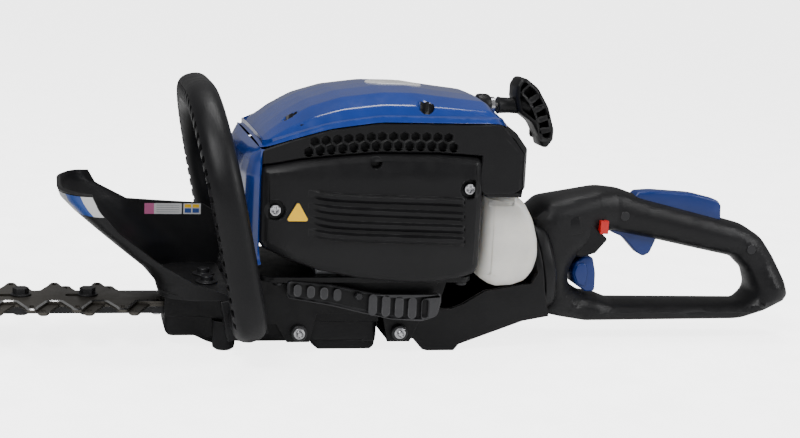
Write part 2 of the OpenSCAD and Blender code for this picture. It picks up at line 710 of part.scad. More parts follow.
module front_cover() color("#1446a0") difference() {
    intersection() {
        linear_extrude(300) polygon(front_plan);
        side_slab(-90, 90) polygon(front_side);
    }
    intersection() {
        linear_extrude(300) translate([cover_wall, 0]) polygon([for (p = front_plan) [p[0], p[1] * 0.97]]);
        side_slab(-90, 90) translate([cover_wall, 0])
            polygon([for (p = front_side) [p[0], (p[1] - 123) * 0.95 + 123]]);
    }
    x_pin(-8, 128, -100, -80, screw_d / 2);
}

shroud_top = [[128 + rear_shift, 179], [106 + rear_shift, 188.5], [56, 188], [10, 188], [-28, 182.5],
    [-58, 174], [-78, 168]];
shroud_rear_x = 140 + rear_shift;
shroud_outline = concat([[-78, 155.4], [-51, 160], [-21, 163], [10, side_top], [56, side_top],
    [body_rear_x - 2, 163.5], [body_rear_x + 0.5, 136], [98 + rear_shift, 133],
    [shroud_rear_x, 131], [shroud_rear_x, 160]], shroud_top);
shroud_half_w = 76;

// The band around the fan, with its rear corner block and the vents in its sides
module fan_shroud() color("#1b1b1e") difference() {
    side_slab(-shroud_half_w, shroud_half_w) polygon(shroud_outline);
    block([-78 + cover_wall, -shroud_half_w + cover_wall, 100],
        [shroud_rear_x - cover_wall, shroud_half_w - cover_wall, 240]);
    for (i = [0 : 11], row = [0, 1])
        translate([-36 + i * 9 + row * 4.5, 0, 171 + row * 7]) rotate([90, 0, 0])
            cylinder(h = 200, r = 3.4, center = true, $fn = 6);
    x_pin(0, rope_z, ferrule_x - 10, ferrule_x + 50, 7 + play);
}

top_stations = [[-78, 168, 172], [-58, 174, 189], [-28, 182.5, 203.5], [10, 188, body_top - 1],
    [56, 188, body_top], [98 + rear_shift, 188.4, body_top - 7],
    [106 + rear_shift, 188.5, 196], [128 + rear_shift, 179, 181]];
// Half of the cover's cross-section: share of the half width and share of the height
top_section = [[1, 0], [1, 0.12], [0.9, 0.56], [0.66, 0.86], [0.25, 1]];

module top_slice(s, w) translate([s[0], 0, s[1] - (w > 0 ? 3 : 0)]) rotate([90, 0, 90])
    linear_extrude(0.01) polygon(concat(
        [for (q = top_section) [q[0] * (shroud_half_w - w), q[1] * (s[2] - s[1] - w)
            + (w > 0 && q[1] > 0 ? 3 : 0)]],
        [for (k = [len(top_section) - 1 : -1 : 0]) let (q = top_section[k])
            [-q[0] * (shroud_half_w - w), q[1] * (s[2] - s[1] - w) + (w > 0 && q[1] > 0 ? 3 : 0)]]));

module top_cover() color("#1446a0") difference() {
    union() for (i = [0 : len(top_stations) - 2]) hull() {
        top_slice(top_stations[i], 0);
        top_slice(top_stations[i + 1], 0);
    }
    for (i = [1 : len(top_stations) - 4]) hull() {
        top_slice(top_stations[i], cover_wall);
        top_slice(top_stations[i + 1], cover_wall);
    }
    x_pin(0, rope_z, ferrule_x - 24, ferrule_x + 46, 7 + play);
    x_pin(0, rope_z, ferrule_x + 10, ferrule_x + 46, 9);
}

// ---------- Starter ----------

starter_plate_z = 180;
pulley_h = 11;

module starter_plate() color("#26262a") difference() {
    union() {
        translate([0, 0, starter_plate_z]) cylinder(h = 3, r = flywheel_r + 6);
        block([-12, -shroud_half_w + cover_wall, starter_plate_z],
            [12, shroud_half_w - cover_wall, starter_plate_z + 3]);
        block([0, -10, starter_plate_z], [ferrule_x - 2, 10, starter_plate_z + 3]);
        translate([0, 0, starter_plate_z]) cylinder(h = pulley_z + pulley_h + 3 - starter_plate_z, r = 6);
    }
    for (a = [30 : 30 : 330]) rotate(a) translate([34, 0, 100]) cylinder(h = 100, r = 6);
}

// The starter rope winds in the groove of this pulley
module starter_pulley() color("#e6e2d6") translate([0, 0, pulley_z]) difference() {
    union() {
        cylinder(h = 2.5, r = pulley_r + 2.5);
        cylinder(h = pulley_h, r = pulley_r - rope_d / 2);
        translate([0, 0, pulley_h - 2.5]) cylinder(h = 2.5, r = pulley_r + 2.5);
    }
    translate([0, 0, -1]) cylinder(h = pulley_h + 2, r = 6 + fit);
    translate([0, 0, 3]) difference() {
        cylinder(h = pulley_h, r = pulley_r - 6);
        cylinder(h = pulley_h, r = 9);
    }
}

module rope_ferrule() color("#b0b0b0") difference() {
    union() {
        x_pin(0, rope_z, ferrule_x - 4, ferrule_x + 14, 6.5);
        x_pin(0, rope_z, ferrule_x + 11, ferrule_x + 14, 8.5);
    }
    x_pin(0, rope_z, ferrule_x - 10, ferrule_x + 20, rope_d / 2 + 0.4);
}

// A stem around the rope and a leaning cross grip
grip_lean = 26;
module starter_handle() color("#1c1c20") difference() {
    union() {
        x_pin(0, rope_z, ferrule_x + 14 + play, ferrule_x + 44, 6.5);
        translate([ferrule_x + 47, 0, rope_z - 4]) rotate([0, -grip_lean, 0]) translate([0, 0, -29])
            linear_extrude(58) round_square(-9, -12, 9, 12, 6);
    }
    x_pin(0, rope_z, ferrule_x, ferrule_x + 44, rope_d / 2 + 0.3);
}

// ---------- Fuel tank ----------

tank_outline = [[99, 64], [108, 58], [126, 57], [136, 60], [142, 69], [143.5, 80], [143, 93], [139, 110],
    [132, 123], [125, 129], [99, 129]];
tank_wall = 2.5;
cap_x = 122;
cap_z = 98;

module fuel_tank() color("#e8e4dc") difference() {
    union() {
        side_slab(-tank_w / 2, tank_w / 2) polygon(tank_outline);
        y_pin(cap_x, cap_z, tank_w / 2 - 1, tank_w / 2 + 8, 13);
    }
    side_slab(-tank_w / 2 + tank_wall, tank_w / 2 - tank_wall) polygon(inset(tank_outline, tank_wall));
    y_pin(cap_x, cap_z, tank_w / 2 - 10, tank_w / 2 + 10, 10.5);
}

module fuel_cap() color("#1b1b1d") {
    y_pin(cap_x, cap_z, tank_w / 2 - 2, tank_w / 2 + 10, 10.5 - fit);
    y_pin(cap_x, cap_z, tank_w / 2 + 8 + play, tank_w / 2 + 16, 17);
    block([cap_x - 15, tank_w / 2 + 15, cap_z - 2.5], [cap_x + 15, tank_w / 2 + 21, cap_z + 2.5]);
}

module choke_lever() color("#c0392b") {
    y_pin(16, 82, 58, body_half_w + 2, 2.5);
    side_slab(body_half_w - 2, body_half_w + 3) polygon([[12, 79], [20, 79], [19, 85], [13, 85]]);
}

module primer_bulb() color("#c9b98a") {
    y_pin(50, 78, body_half_w - 21, body_half_w + 2, 7.5);
}

// ---------- Rear handle ----------

// The outline of the handle from the side; the seam's two ends lean with it
handle_front = seam_x + 0.4;
function on_seam(v) = [handle_front - v * sin(seam_lean), seam_z + v * cos(seam_lean)];
grip_rear = seam_x + handle_length;
handle_outline = [on_seam(-43), [184, 19], [206, 14.5], [grip_rear - 42, 15.5], [grip_rear - 20, 22],
    [grip_rear - 4, 30], [grip_rear, 38], [grip_rear - 3, 50], [grip_rear - 12, 70], [grip_rear - 24, 86],
    [grip_rear - 42, 97], [305, 107], [251, 120], [229, 127.5], [212, 129], [164, 120], on_seam(43)];
hand_gap = [[226, 33], [344, 33], [353, 41], [346, 58], [334, 69], [307, 75], [262, 84.5], [224, 91],
    [215, 80], [214, 44]];

module handle_half_2d() difference() {
    polygon(handle_outline);
    polygon(hand_gap);
}

module handle_room_2d() difference() {
    polygon(inset(handle_outline, shell_wall));
    polygon(inset(hand_gap, -shell_wall));
}

// One half of the handle, from y = 0 out to the far side
module handle_half() {
    side_slab(0, grip_w / 2) handle_half_2d();
    // wide lower bar
    side_slab(grip_w / 2 - 1, tray_w / 2) polygon([[206, 14.5], [grip_rear - 42, 15.5], [grip_rear - 14, 25],
        [grip_rear - 8, 30], [229, 30], [206, 40], [190, 60], [176, 60], [170, 24]]);
    seam_frame() x_half_disc();
}

module x_half_disc() intersection() {
    x_pin(0, 0, 0.4, 14, flange_r);
    block([0, 0, -50], [20, 50, 50]);
}

module handle_cuts() {
    side_slab(-1, grip_w / 2 - shell_wall) handle_room_2d();
    seam_frame() x_pin(0, 0, -5, 20, swivel_r);
    // ways out for the trigger, the lockout lever and the turn latch
    block([223, -6, 70], [268.5, 6, 96]);
    block([242, -7, 100], [322, 7, 130]);
    block([187, -20, 40], [215, 20, 73]);
    for (p = handle_screw_points) y_pin(p[0], p[1], -50, 50, 2);
}

handle_screw_points = [[180, 106], [345, 78], [362, 32], [232, 106]];

module handle_far() color("#2f3034") difference() {
    handle_half();
    handle_cuts();
    seam_frame() x_pin(0, 0, 7.9, 12.1, swivel_r + 4);
}

module handle_near() color("#2f3034") {
    difference() {
        union() {
            scale([1, -1, 1]) handle_half();
            // raised boss for the stop switch
            y_pin(203, 92, -grip_w / 2 - 7, -grip_w / 2 + 1, 15);
        }
        scale([1, -1, 1]) handle_cuts();
        block([207, -40, 92], [217, -10, 104]);
        for (p = handle_screw_points) y_pin(p[0], p[1], -50, -grip_w / 2 + 3, 4);
        seam_frame() x_pin(0, 0, 7.9, 12.1, swivel_r + 4);
    }
}

module handle_screws() color("silver") for (p = handle_screw_points) {
    y_pin(p[0], p[1], -grip_w / 2 + 3, grip_w / 2 - 3, 2);
    y_pin(p[0], p[1], -grip_w / 2 - 1, -grip_w / 2 + 3, 4);
}

// The hollow pin that the handle turns on, with a collar on each side of the arm's flange
module swivel_pin() color("#8c8c8f") seam_frame() difference() {
    union() {
        x_pin(0, 0, -flange_t - play - 3, 12, swivel_r);
        x_pin(0, 0, -flange_t - play - 3, -flange_t - play, swivel_r + 3);
        x_pin(0, 0, 8, 12, swivel_r + 4);
    }
    x_pin(0, 0, -20, 20, swivel_r - 4);
}

trigger_pivot = [230, 95];
module throttle_trigger() color("#0f3474") difference() {
    union() {
        side_slab(-5, 5) polygon([[225, 90], [237, 85], [250, 72], [256, 69], [261, 72], [264.5, 82], [264.5, 90],
            [236, 98], [225, 98]]);
        y_pin(trigger_pivot[0], trigger_pivot[1], -5, 5, 6);
    }
}

lockout_pivot = [248, 113];
module lockout_lever() color("#0f3474") {
    side_slab(-6, 6) polygon([[243.5, 110], [252, 110], [268, 111], [300, 110], [316, 104], [320, 104],
        [319, 114], [316, 118], [294, 123], [259, 125.5], [245, 124]]);
    y_pin(lockout_pivot[0], lockout_pivot[1], -9, 9, 2.5);
}

module stop_switch() color("#c8201c") difference() {
    block([208.6, -grip_w / 2 - 9, 92.6], [215.4, -grip_w / 2 + 2, 103.4]);
    translate([212, -grip_w / 2 - 4.5, 80]) cylinder(h = 40, r = 1);
}

module turn_latch() color("#0f3474") difference() {
    side_slab(-17, 17) polygon([[190, 60], [194, 68], [198, 71], [207, 71], [210, 58], [210, 43], [202, 43],
        [193, 51]]);
    y_pin(200, 66, -30, 30, 2);
}

upper_blade();
lower_blade();
upper_yoke();
lower_yoke();
guide_bar();
blade_bolts();
gear_case();
gear_cover();
case_screws();
cam_gear();
cam_bearings();
clutch_drum();
drum_bearings();
blade_guard();
guard_screws();
front_handle();
loop_clamps();
chassis();
chassis_screws();
heat_guard();
rear_arm();
av_mounts();
crankcase();
crankshaft();
crank_bearings();
con_rod();
piston();
piston_pin();
engine_cylinder();
spark_plug();
plug_cap();
clutch_shoes();
flywheel();
ignition_coil();
muffler();
intake_stub();
carburettor();
air_filter();
choke_lever();
primer_bulb();
behind() fuel_tank();
behind() fuel_cap();
fan_shroud();
top_cover();
front_cover();
side_cover();
filter_cover();
cover_screws();
starter_plate();
starter_pulley();
rope_ferrule();
starter_handle();
behind() handle_near();
behind() handle_far();
behind() handle_screws();
behind() swivel_pin();
behind() throttle_trigger();
behind() lockout_lever();
behind() stop_switch();
behind() turn_latch();
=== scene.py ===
import json
import math

import bmesh
import bpy
from mathutils import Matrix, Vector


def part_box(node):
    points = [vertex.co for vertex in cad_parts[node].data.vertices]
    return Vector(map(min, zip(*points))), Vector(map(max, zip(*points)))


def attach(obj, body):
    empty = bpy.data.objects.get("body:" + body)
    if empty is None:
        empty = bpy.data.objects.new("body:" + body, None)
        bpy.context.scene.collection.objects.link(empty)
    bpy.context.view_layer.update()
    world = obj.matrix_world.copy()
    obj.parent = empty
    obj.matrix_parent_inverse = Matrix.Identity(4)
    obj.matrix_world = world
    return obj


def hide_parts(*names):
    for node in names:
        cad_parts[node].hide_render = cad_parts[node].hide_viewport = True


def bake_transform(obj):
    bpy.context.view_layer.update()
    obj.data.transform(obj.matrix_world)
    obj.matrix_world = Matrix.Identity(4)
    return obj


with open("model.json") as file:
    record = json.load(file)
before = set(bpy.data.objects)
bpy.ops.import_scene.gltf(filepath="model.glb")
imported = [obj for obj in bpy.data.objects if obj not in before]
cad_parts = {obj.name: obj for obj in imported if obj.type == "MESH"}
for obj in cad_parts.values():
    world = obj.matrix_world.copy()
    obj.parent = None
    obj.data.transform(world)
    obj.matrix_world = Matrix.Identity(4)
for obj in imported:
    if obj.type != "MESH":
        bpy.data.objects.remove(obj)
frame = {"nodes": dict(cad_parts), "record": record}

bl_info = {
    "name": "Hedge trimmer",
    "version": (1, 0, 0),
    "blender": (4, 5, 0),
    "location": "View3D > Sidebar > Trimmer",
    "description": "Builds the finished pieces of a petrol hedge trimmer over its CAD frame",
    "category": "Object",
}

MM = 0.001


def sizes():
    return bpy.context.scene.trimmer_sizes


# ---------- Outlines ----------

def arc_corners(points, radius, steps=5):
    """A closed outline with each corner rounded by an arc; radius is one value or one per point."""
    out = []
    count = len(points)
    for i, here in enumerate(points):
        r = radius[i] if isinstance(radius, (list, tuple)) else radius
        here, before, after = Vector(here), Vector(points[i - 1]), Vector(points[(i + 1) % count])
        a, b = before - here, after - here
        if r <= 0 or a.length < 1e-9 or b.length < 1e-9:
            out.append(tuple(here))
            continue
        half = a.angle(b) / 2
        if half > math.radians(88):
            out.append(tuple(here))
            continue
        reach = min(r / math.tan(half), a.length * 0.48, b.length * 0.48)
        r = reach * math.tan(half)
        start, end = here + a.normalized() * reach, here + b.normalized() * reach
        middle = here + (a.normalized() + b.normalized()).normalized() * (r / math.sin(half))
        u, v = start - middle, end - middle
        sweep = u.angle(v)
        for k in range(steps + 1):
            t = k / steps
            point = middle + (u * math.sin((1 - t) * sweep) + v * math.sin(t * sweep)) / math.sin(sweep)
            out.append(tuple(point))
    return out


def inset(points, width):
    """The outline moved inward by width; the points run anticlockwise."""
    out = []
    count = len(points)
    for i in range(count):
        p = Vector(points[i])
        a, b = p - Vector(points[i - 1]), Vector(points[(i + 1) % count]) - p
        if a.length < 1e-7 or b.length < 1e-7:
            out.append(tuple(p))
            continue
        a, b = a.normalized(), b.normalized()
        na, nb = Vector((-a.y, a.x)), Vector((-b.y, b.x))
        out.append(tuple(p + width * (na + nb) / max(0.35, 1 + na.dot(nb))))
    return out


def area(points):
    return sum(a[0] * b[1] - b[0] * a[1] for a, b in zip(points, points[1:] + points[:1])) / 2


def anticlockwise(points):
    return list(points) if area(list(points)) > 0 else list(reversed(points))


def slot_outline(x, z, length, width, turn=0.0, steps=6):
    """A slot with round ends round the point x, z."""
    half = (length - width) / 2
    out = []
    for side in (1, -1):
        for k in range(steps + 1):
            angle = (k / steps - 0.5) * math.pi
            out.append((side * (half + width / 2 * math.cos(angle)), side * width / 2 * math.sin(angle)))
    c, s = math.cos(turn), math.sin(turn)
    return [(x + c * u - s * v, z + s * u + c * v) for u, v in out]


def oblong(x0, z0, x1, z1):
    return [(x0, z0), (x1, z0), (x1, z1), (x0, z1)]


def ring_points(x, z, radius, sides=24, turn=0.0):
    return [(x + radius * math.cos(turn + k * math.tau / sides),
             z + radius * math.sin(turn + k * math.tau / sides))
            for k in range(sides)]


def curve_through(points, steps=6):
    """A smooth open line through the points."""
    pts = [Vector(p) for p in points]
    pts = [pts[0] * 2 - pts[1]] + pts + [pts[-1] * 2 - pts[-2]]
    out = []
    for i in range(1, len(pts) - 2):
        a, b, c, d = pts[i - 1:i + 3]
        for k in range(steps):
            t = k / steps
            out.append(0.5 * (2 * b + (c - a) * t + (2 * a - 5 * b + 4 * c - d) * t * t
                              + (3 * b - a - 3 * c + d) * t ** 3))
    out.append(pts[-2])
    return out


def between(table, x):
    """Straight-line reading of a table of (x, value) pairs."""
    if x <= table[0][0]:
        return table[0][1]
    for (x0, v0), (x1, v1) in zip(table, table[1:]):
        if x <= x1:
            return v0 + (v1 - v0) * (x - x0) / (x1 - x0)
    return table[-1][1]


def ease(t):
    """A smooth step from 0 to 1."""
    t = min(1.0, max(0.0, t))
    return t * t * (3 - 2 * t)


# ---------- Mesh building; all sizes in millimetres ----------

PLANES = {
    "xz": lambda u, v, w: Vector((u, w, v)),
    "xy": lambda u, v, w: Vector((u, v, w)),
}


def ring_pairs(ring):
    """Neighbours in a closed line, the last with the first."""
    return list(zip(ring, ring[1:] + ring[:1]))


def start_ring(bm, places):
    """A closed line of new vertices and edges."""
    ring = [bm.verts.new(place) for place in places]
    for pair in ring_pairs(ring):
        bm.edges.new(pair)
    return ring


def extrude_ring(bm, ring, places, index=0):
    """Extrudes a closed line of vertices to new places; the new vertices keep its order."""
    edges = [bm.edges.get(pair) for pair in ring_pairs(ring)]
    made = bmesh.ops.extrude_edge_only(bm, edges=edges)["geom"]
    fresh = {part for part in made if isinstance(part, bmesh.types.BMVert)}
    for part in made:
        if isinstance(part, bmesh.types.BMFace):
            part.material_index = index
    moved = [next(e.other_vert(v) for e in v.link_edges if e.other_vert(v) in fresh) for v in ring]
    for vertex, place in zip(moved, places):
        vertex.co = place
    return moved


def skin(bm, loops, index=0):
    """A wall through closed lines of points of one length; gives its rings of vertices."""
    rings = [start_ring(bm, loops[0])]
    for places in loops[1:]:
        rings.append(extrude_ring(bm, rings[-1], places, index))
    return rings


def sheet(bm, columns, rows, place):
    """A grid of cells with the corner (i, j) at place(i, j); gives its vertices by (i, j)."""
    made = bmesh.ops.create_grid(bm, x_segments=columns, y_segments=rows, size=1.0)
    corners = {(round((v.co.x + 1) / 2 * columns),
                round((v.co.y + 1) / 2 * rows)): v for v in made["verts"]}
    for (i, j), vertex in corners.items():
        vertex.co = place(i, j)
    return corners


def thicken(bm, thickness):
    """Gives an open sheet that faces the front of the tool its thickness."""
    bmesh.ops.recalc_face_normals(bm, faces=bm.faces)
    if min(bm.faces, key=lambda f: f.calc_center_median().x).normal.x > 0:
        bmesh.ops.reverse_faces(bm, faces=bm.faces)
    bmesh.ops.solidify(bm, geom=bm.faces, thickness=thickness)


def cap(bm, rings, index=0):
    """Fills the flat region between an outer ring and its holes."""
    edges = [bm.edges.get(pair) for ring in rings for pair in ring_pairs(ring)]
    done = bmesh.ops.triangle_fill(bm, use_beauty=True, use_dissolve=False, edges=edges)
    for part in done["geom"]:
        if isinstance(part, bmesh.types.BMFace):
            part.material_index = index


def pillow(bm, outline, levels, holes=(), plane="xz", index=0):
    """A solid between flat outlines: levels are (inset, position) pairs from one face to the other."""
    put = PLANES[plane]
    walls = []
    for loop, sign in [(anticlockwise(outline), 1)] + [(anticlockwise(h), -1) for h in holes]:
        loops = [[put(u, v, place) for u, v in (inset(loop, sign * width) if width else loop)]
                 for width, place in levels]
        walls.append(skin(bm, loops, index))
    cap(bm, [rings[0] for rings in walls], index)
    cap(bm, [rings[-1] for rings in walls], index)


def round_levels(low, high, radius, steps=4):
    """Levels of a slab whose two faces run into its sides with a round edge."""
    quarter = [(radius * (1 - math.sin(k / steps * math.pi / 2)),
                radius * (1 - math.cos(k / steps * math.pi / 2)))
               for k in range(steps + 1)]
    return ([(w, low + d) for w, d in quarter] + [(w, high - d) for w, d in reversed(quarter)])


def lathe(bm, profile, centre, axis, sides=32, index=0):
    """Spins (radius, height) pairs round an axis through centre and closes its open ends."""
    turn = Vector(axis).normalized().to_track_quat("Z", "Y").to_matrix()
    older = set(bm.faces)
    line = [bm.verts.new(Vector(centre) + turn @ Vector((radius, 0, height))) for radius, height in profile]
    edges = [bm.edges.new(pair) for pair in zip(line, line[1:])]
    bmesh.ops.spin(bm, geom=line + edges, cent=centre, axis=turn @ Vector((0, 0, 1)), angle=math.tau,
                   steps=sides, use_merge=True)
    made = [face for face in bm.faces if face not in older]
    rims = {edge for face in made for edge in face.edges if edge.is_boundary and edge.calc_length() > 1e-6}
    if rims:
        made += bmesh.ops.edgeloop_fill(bm, edges=list(rims))["faces"]
    for face in made:
        face.material_index = index


def sweep(bm, path, profile, side):
    """Carries a closed profile along a path, with its first axis towards side and square to the path."""
    loops = []
    for i, here in enumerate(path):
        along = (path[min(i + 1, len(path) - 1)] - path[max(i - 1, 0)]).normalized()
        first = (side - along * side.dot(along)).normalized()
        second = along.cross(first)
        loops.append([here + first * u + second * v for u, v in profile])
    rings = skin(bm, loops)
    for ring in (rings[0], rings[-1]):
        bm.faces.new(ring)
    return rings


def round_edges(obj, bevel, segments, angle):
    """Rounds every edge that turns by more than angle degrees; bevel is in millimetres."""
    rounding = obj.modifiers.new("rounding", "BEVEL")
    rounding.width = bevel * MM
    rounding.segments = segments
    rounding.limit_method = "ANGLE"
    rounding.angle_limit = math.radians(angle)
    rounding.harden_normals = True


def finish_piece(name, bm, body, nodes, materials, bevel=0.0, segments=2, smooth=40.0):
    bmesh.ops.remove_doubles(bm, verts=bm.verts, dist=1e-4)
    bmesh.ops.recalc_face_normals(bm, faces=bm.faces)
    bmesh.ops.scale(bm, vec=(MM, MM, MM), verts=bm.verts)
    mesh = bpy.data.meshes.new(name)
    bm.to_mesh(mesh)
    bm.free()
    obj = bpy.data.objects.new(name, mesh)
    bpy.context.scene.collection.objects.link(obj)
    for finish in materials:
        mesh.materials.append(finish)
    mesh.shade_smooth()
    mesh.set_sharp_from_angle(angle=math.radians(smooth))
    if bevel:
        round_edges(obj, bevel, segments, smooth)
    if body:
        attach(obj, body)
    if nodes:
        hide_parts(*nodes)
    return obj


# ---------- Materials ----------

def node_group(name, sockets_in, sockets_out):
    group = bpy.data.node_groups.new(name, "ShaderNodeTree")
    for socket, kind, value in sockets_in:
        made = group.interface.new_socket(name=socket, in_out="INPUT", socket_type=kind)
        if value is not None:
            made.default_value = value
    for socket, kind in sockets_out:
        group.interface.new_socket(name=socket, in_out="OUTPUT", socket_type=kind)
    return group, group.nodes.new("NodeGroupInput"), group.nodes.new("NodeGroupOutput")


def add_node(tree, kind, values=None, **settings):
    node = tree.nodes.new(kind)
    for key, value in settings.items():
        setattr(node, key, value)
    for key, value in (values or {}).items():
        node.inputs[key].default_value = value
    return node


def surface_group():
    """Colour mottling, dust, fine grain and worn edges on object coordinates."""
    group, source, sink = node_group("moulded surface", [
        ("Color", "NodeSocketColor", (0.5, 0.5, 0.5, 1)),
        ("Roughness", "NodeSocketFloat", 0.5),
        ("Grain per metre", "NodeSocketFloat", 900.0),
        ("Grain depth", "NodeSocketFloat", 0.1),
        ("Wear", "NodeSocketFloat", 0.3),
        ("Dust", "NodeSocketFloat", 0.05),
    ], [("Color", "NodeSocketColor"), ("Roughness", "NodeSocketFloat"), ("Normal", "NodeSocketVector")])
    link = group.links.new
    coords = add_node(group, "ShaderNodeTexCoord")
    mottle = add_node(group, "ShaderNodeTexNoise", {"Scale": 22.0, "Detail": 4.0, "Roughness": 0.6})
    streaks = add_node(group, "ShaderNodeTexNoise", {"Scale": 90.0, "Detail": 3.0, "Roughness": 0.65})
    grain = add_node(group, "ShaderNodeTexNoise", {"Detail": 2.0, "Roughness": 0.55})
    for texture in (mottle, streaks, grain):
        link(coords.outputs["Object"], texture.inputs["Vector"])
    link(source.outputs["Grain per metre"], grain.inputs["Scale"])

    shade = add_node(group, "ShaderNodeMapRange", {"From Min": 0.3, "From Max": 0.7, "To Min": 0.86,
                                                   "To Max": 1.12})
    link(mottle.outputs["Fac"], shade.inputs["Value"])
    tinted = add_node(group, "ShaderNodeVectorMath", operation="SCALE")
    link(source.outputs["Color"], tinted.inputs[0])
    link(shade.outputs["Result"], tinted.inputs["Scale"])

    # worn edges: where a rounded normal leaves the true one
    soft = add_node(group, "ShaderNodeBevel", {"Radius": 0.0012}, samples=4)
    shape = add_node(group, "ShaderNodeNewGeometry")
    facing = add_node(group, "ShaderNodeVectorMath", operation="DOT_PRODUCT")
    link(soft.outputs["Normal"], facing.inputs[0])
    link(shape.outputs["Normal"], facing.inputs[1])
    edge = add_node(group, "ShaderNodeMapRange", {"From Min": 0.985, "From Max": 0.86, "To Min": 0.0,
                                                  "To Max": 1.0})
    link(facing.outputs["Value"], edge.inputs["Value"])
    broken = add_node(group, "ShaderNodeMapRange", {"From Min": 0.42, "From Max": 0.62})
    link(streaks.outputs["Fac"], broken.inputs["Value"])
    worn = add_node(group, "ShaderNodeMath", operation="MULTIPLY")
    link(edge.outputs["Result"], worn.inputs[0])
    link(broken.outputs["Result"], worn.inputs[1])
    amount = add_node(group, "ShaderNodeMath", operation="MULTIPLY")
    link(worn.outputs["Value"], amount.inputs[0])
    link(source.outputs["Wear"], amount.inputs[1])
    paler = add_node(group, "ShaderNodeVectorMath", operation="MULTIPLY_ADD")
    paler.inputs[1].default_value = (1.6, 1.6, 1.6)
    paler.inputs[2].default_value = (0.05, 0.05, 0.05)
    link(tinted.outputs["Vector"], paler.inputs[0])
    edged = add_node(group, "ShaderNodeMix", data_type="RGBA")
    link(amount.outputs["Value"], edged.inputs["Factor"])
    link(tinted.outputs["Vector"], edged.inputs["A"])
    link(paler.outputs["Vector"], edged.inputs["B"])

    # a little dust on upward faces
    up = add_node(group, "ShaderNodeSeparateXYZ")
    link(shape.outputs["Normal"], up.inputs[0])
    lying = add_node(group, "ShaderNodeMapRange", {"From Min": 0.55, "From Max": 1.0})
    link(up.outputs["Z"], lying.inputs["Value"])
    dusty = add_node(group, "ShaderNodeMath", operation="MULTIPLY")
    link(lying.outputs["Result"], dusty.inputs[0])
    link(source.outputs["Dust"], dusty.inputs[1])
    dusted = add_node(group, "ShaderNodeMix", {"B": (0.34, 0.32, 0.29, 1)}, data_type="RGBA")
    link(dusty.outputs["Value"], dusted.inputs["Factor"])
    link(edged.outputs["Result"], dusted.inputs["A"])
    link(dusted.outputs["Result"], sink.inputs["Color"])

    rougher = add_node(group, "ShaderNodeMapRange", {"From Min": 0.3, "From Max": 0.7, "To Min": -0.06,
                                                     "To Max": 0.07})
    link(streaks.outputs["Fac"], rougher.inputs["Value"])
    total = add_node(group, "ShaderNodeMath", operation="ADD", use_clamp=True)
    link(source.outputs["Roughness"], total.inputs[0])
    link(rougher.outputs["Result"], total.inputs[1])
    link(total.outputs["Value"], sink.inputs["Roughness"])

    bump = add_node(group, "ShaderNodeBump", {"Distance": 0.0006})
    link(source.outputs["Grain depth"], bump.inputs["Strength"])
    link(grain.outputs["Fac"], bump.inputs["Height"])
    link(bump.outputs["Normal"], sink.inputs["Normal"])
    return group


def material(name, color, rough, metal=0.0, grain=900.0, depth=0.08, wear=0.3, dust=0.03, coat=0.0,
             subsurface=0.0, specular=0.5):
    """A Principled material whose colour, roughness and normal come from the moulded surface group."""
    made = bpy.data.materials.new(name)
    made.use_nodes = True
    tree = made.node_tree
    shader = tree.nodes["Principled BSDF"]
    surface = tree.nodes.new("ShaderNodeGroup")
    surface.node_tree = bpy.data.node_groups.get("moulded surface") or surface_group()
    for key, value in (("Color", (*color, 1)), ("Roughness", rough), ("Grain per metre", grain),
                       ("Grain depth", depth), ("Wear", wear), ("Dust", dust)):
        surface.inputs[key].default_value = value
    tree.links.new(surface.outputs["Color"], shader.inputs["Base Color"])
    tree.links.new(surface.outputs["Roughness"], shader.inputs["Roughness"])
    tree.links.new(surface.outputs["Normal"], shader.inputs["Normal"])
    shader.inputs["Metallic"].default_value = metal
    shader.inputs["Specular IOR Level"].default_value = specular
    if coat:
        shader.inputs["Coat Weight"].default_value = coat
        shader.inputs["Coat Roughness"].default_value = 0.08
    if subsurface:
        shader.inputs["Subsurface Weight"].default_value = subsurface
        shader.inputs["Subsurface Radius"].default_value = (0.02, 0.018, 0.015)
        shader.inputs["Subsurface Scale"].default_value = 0.3
    return made


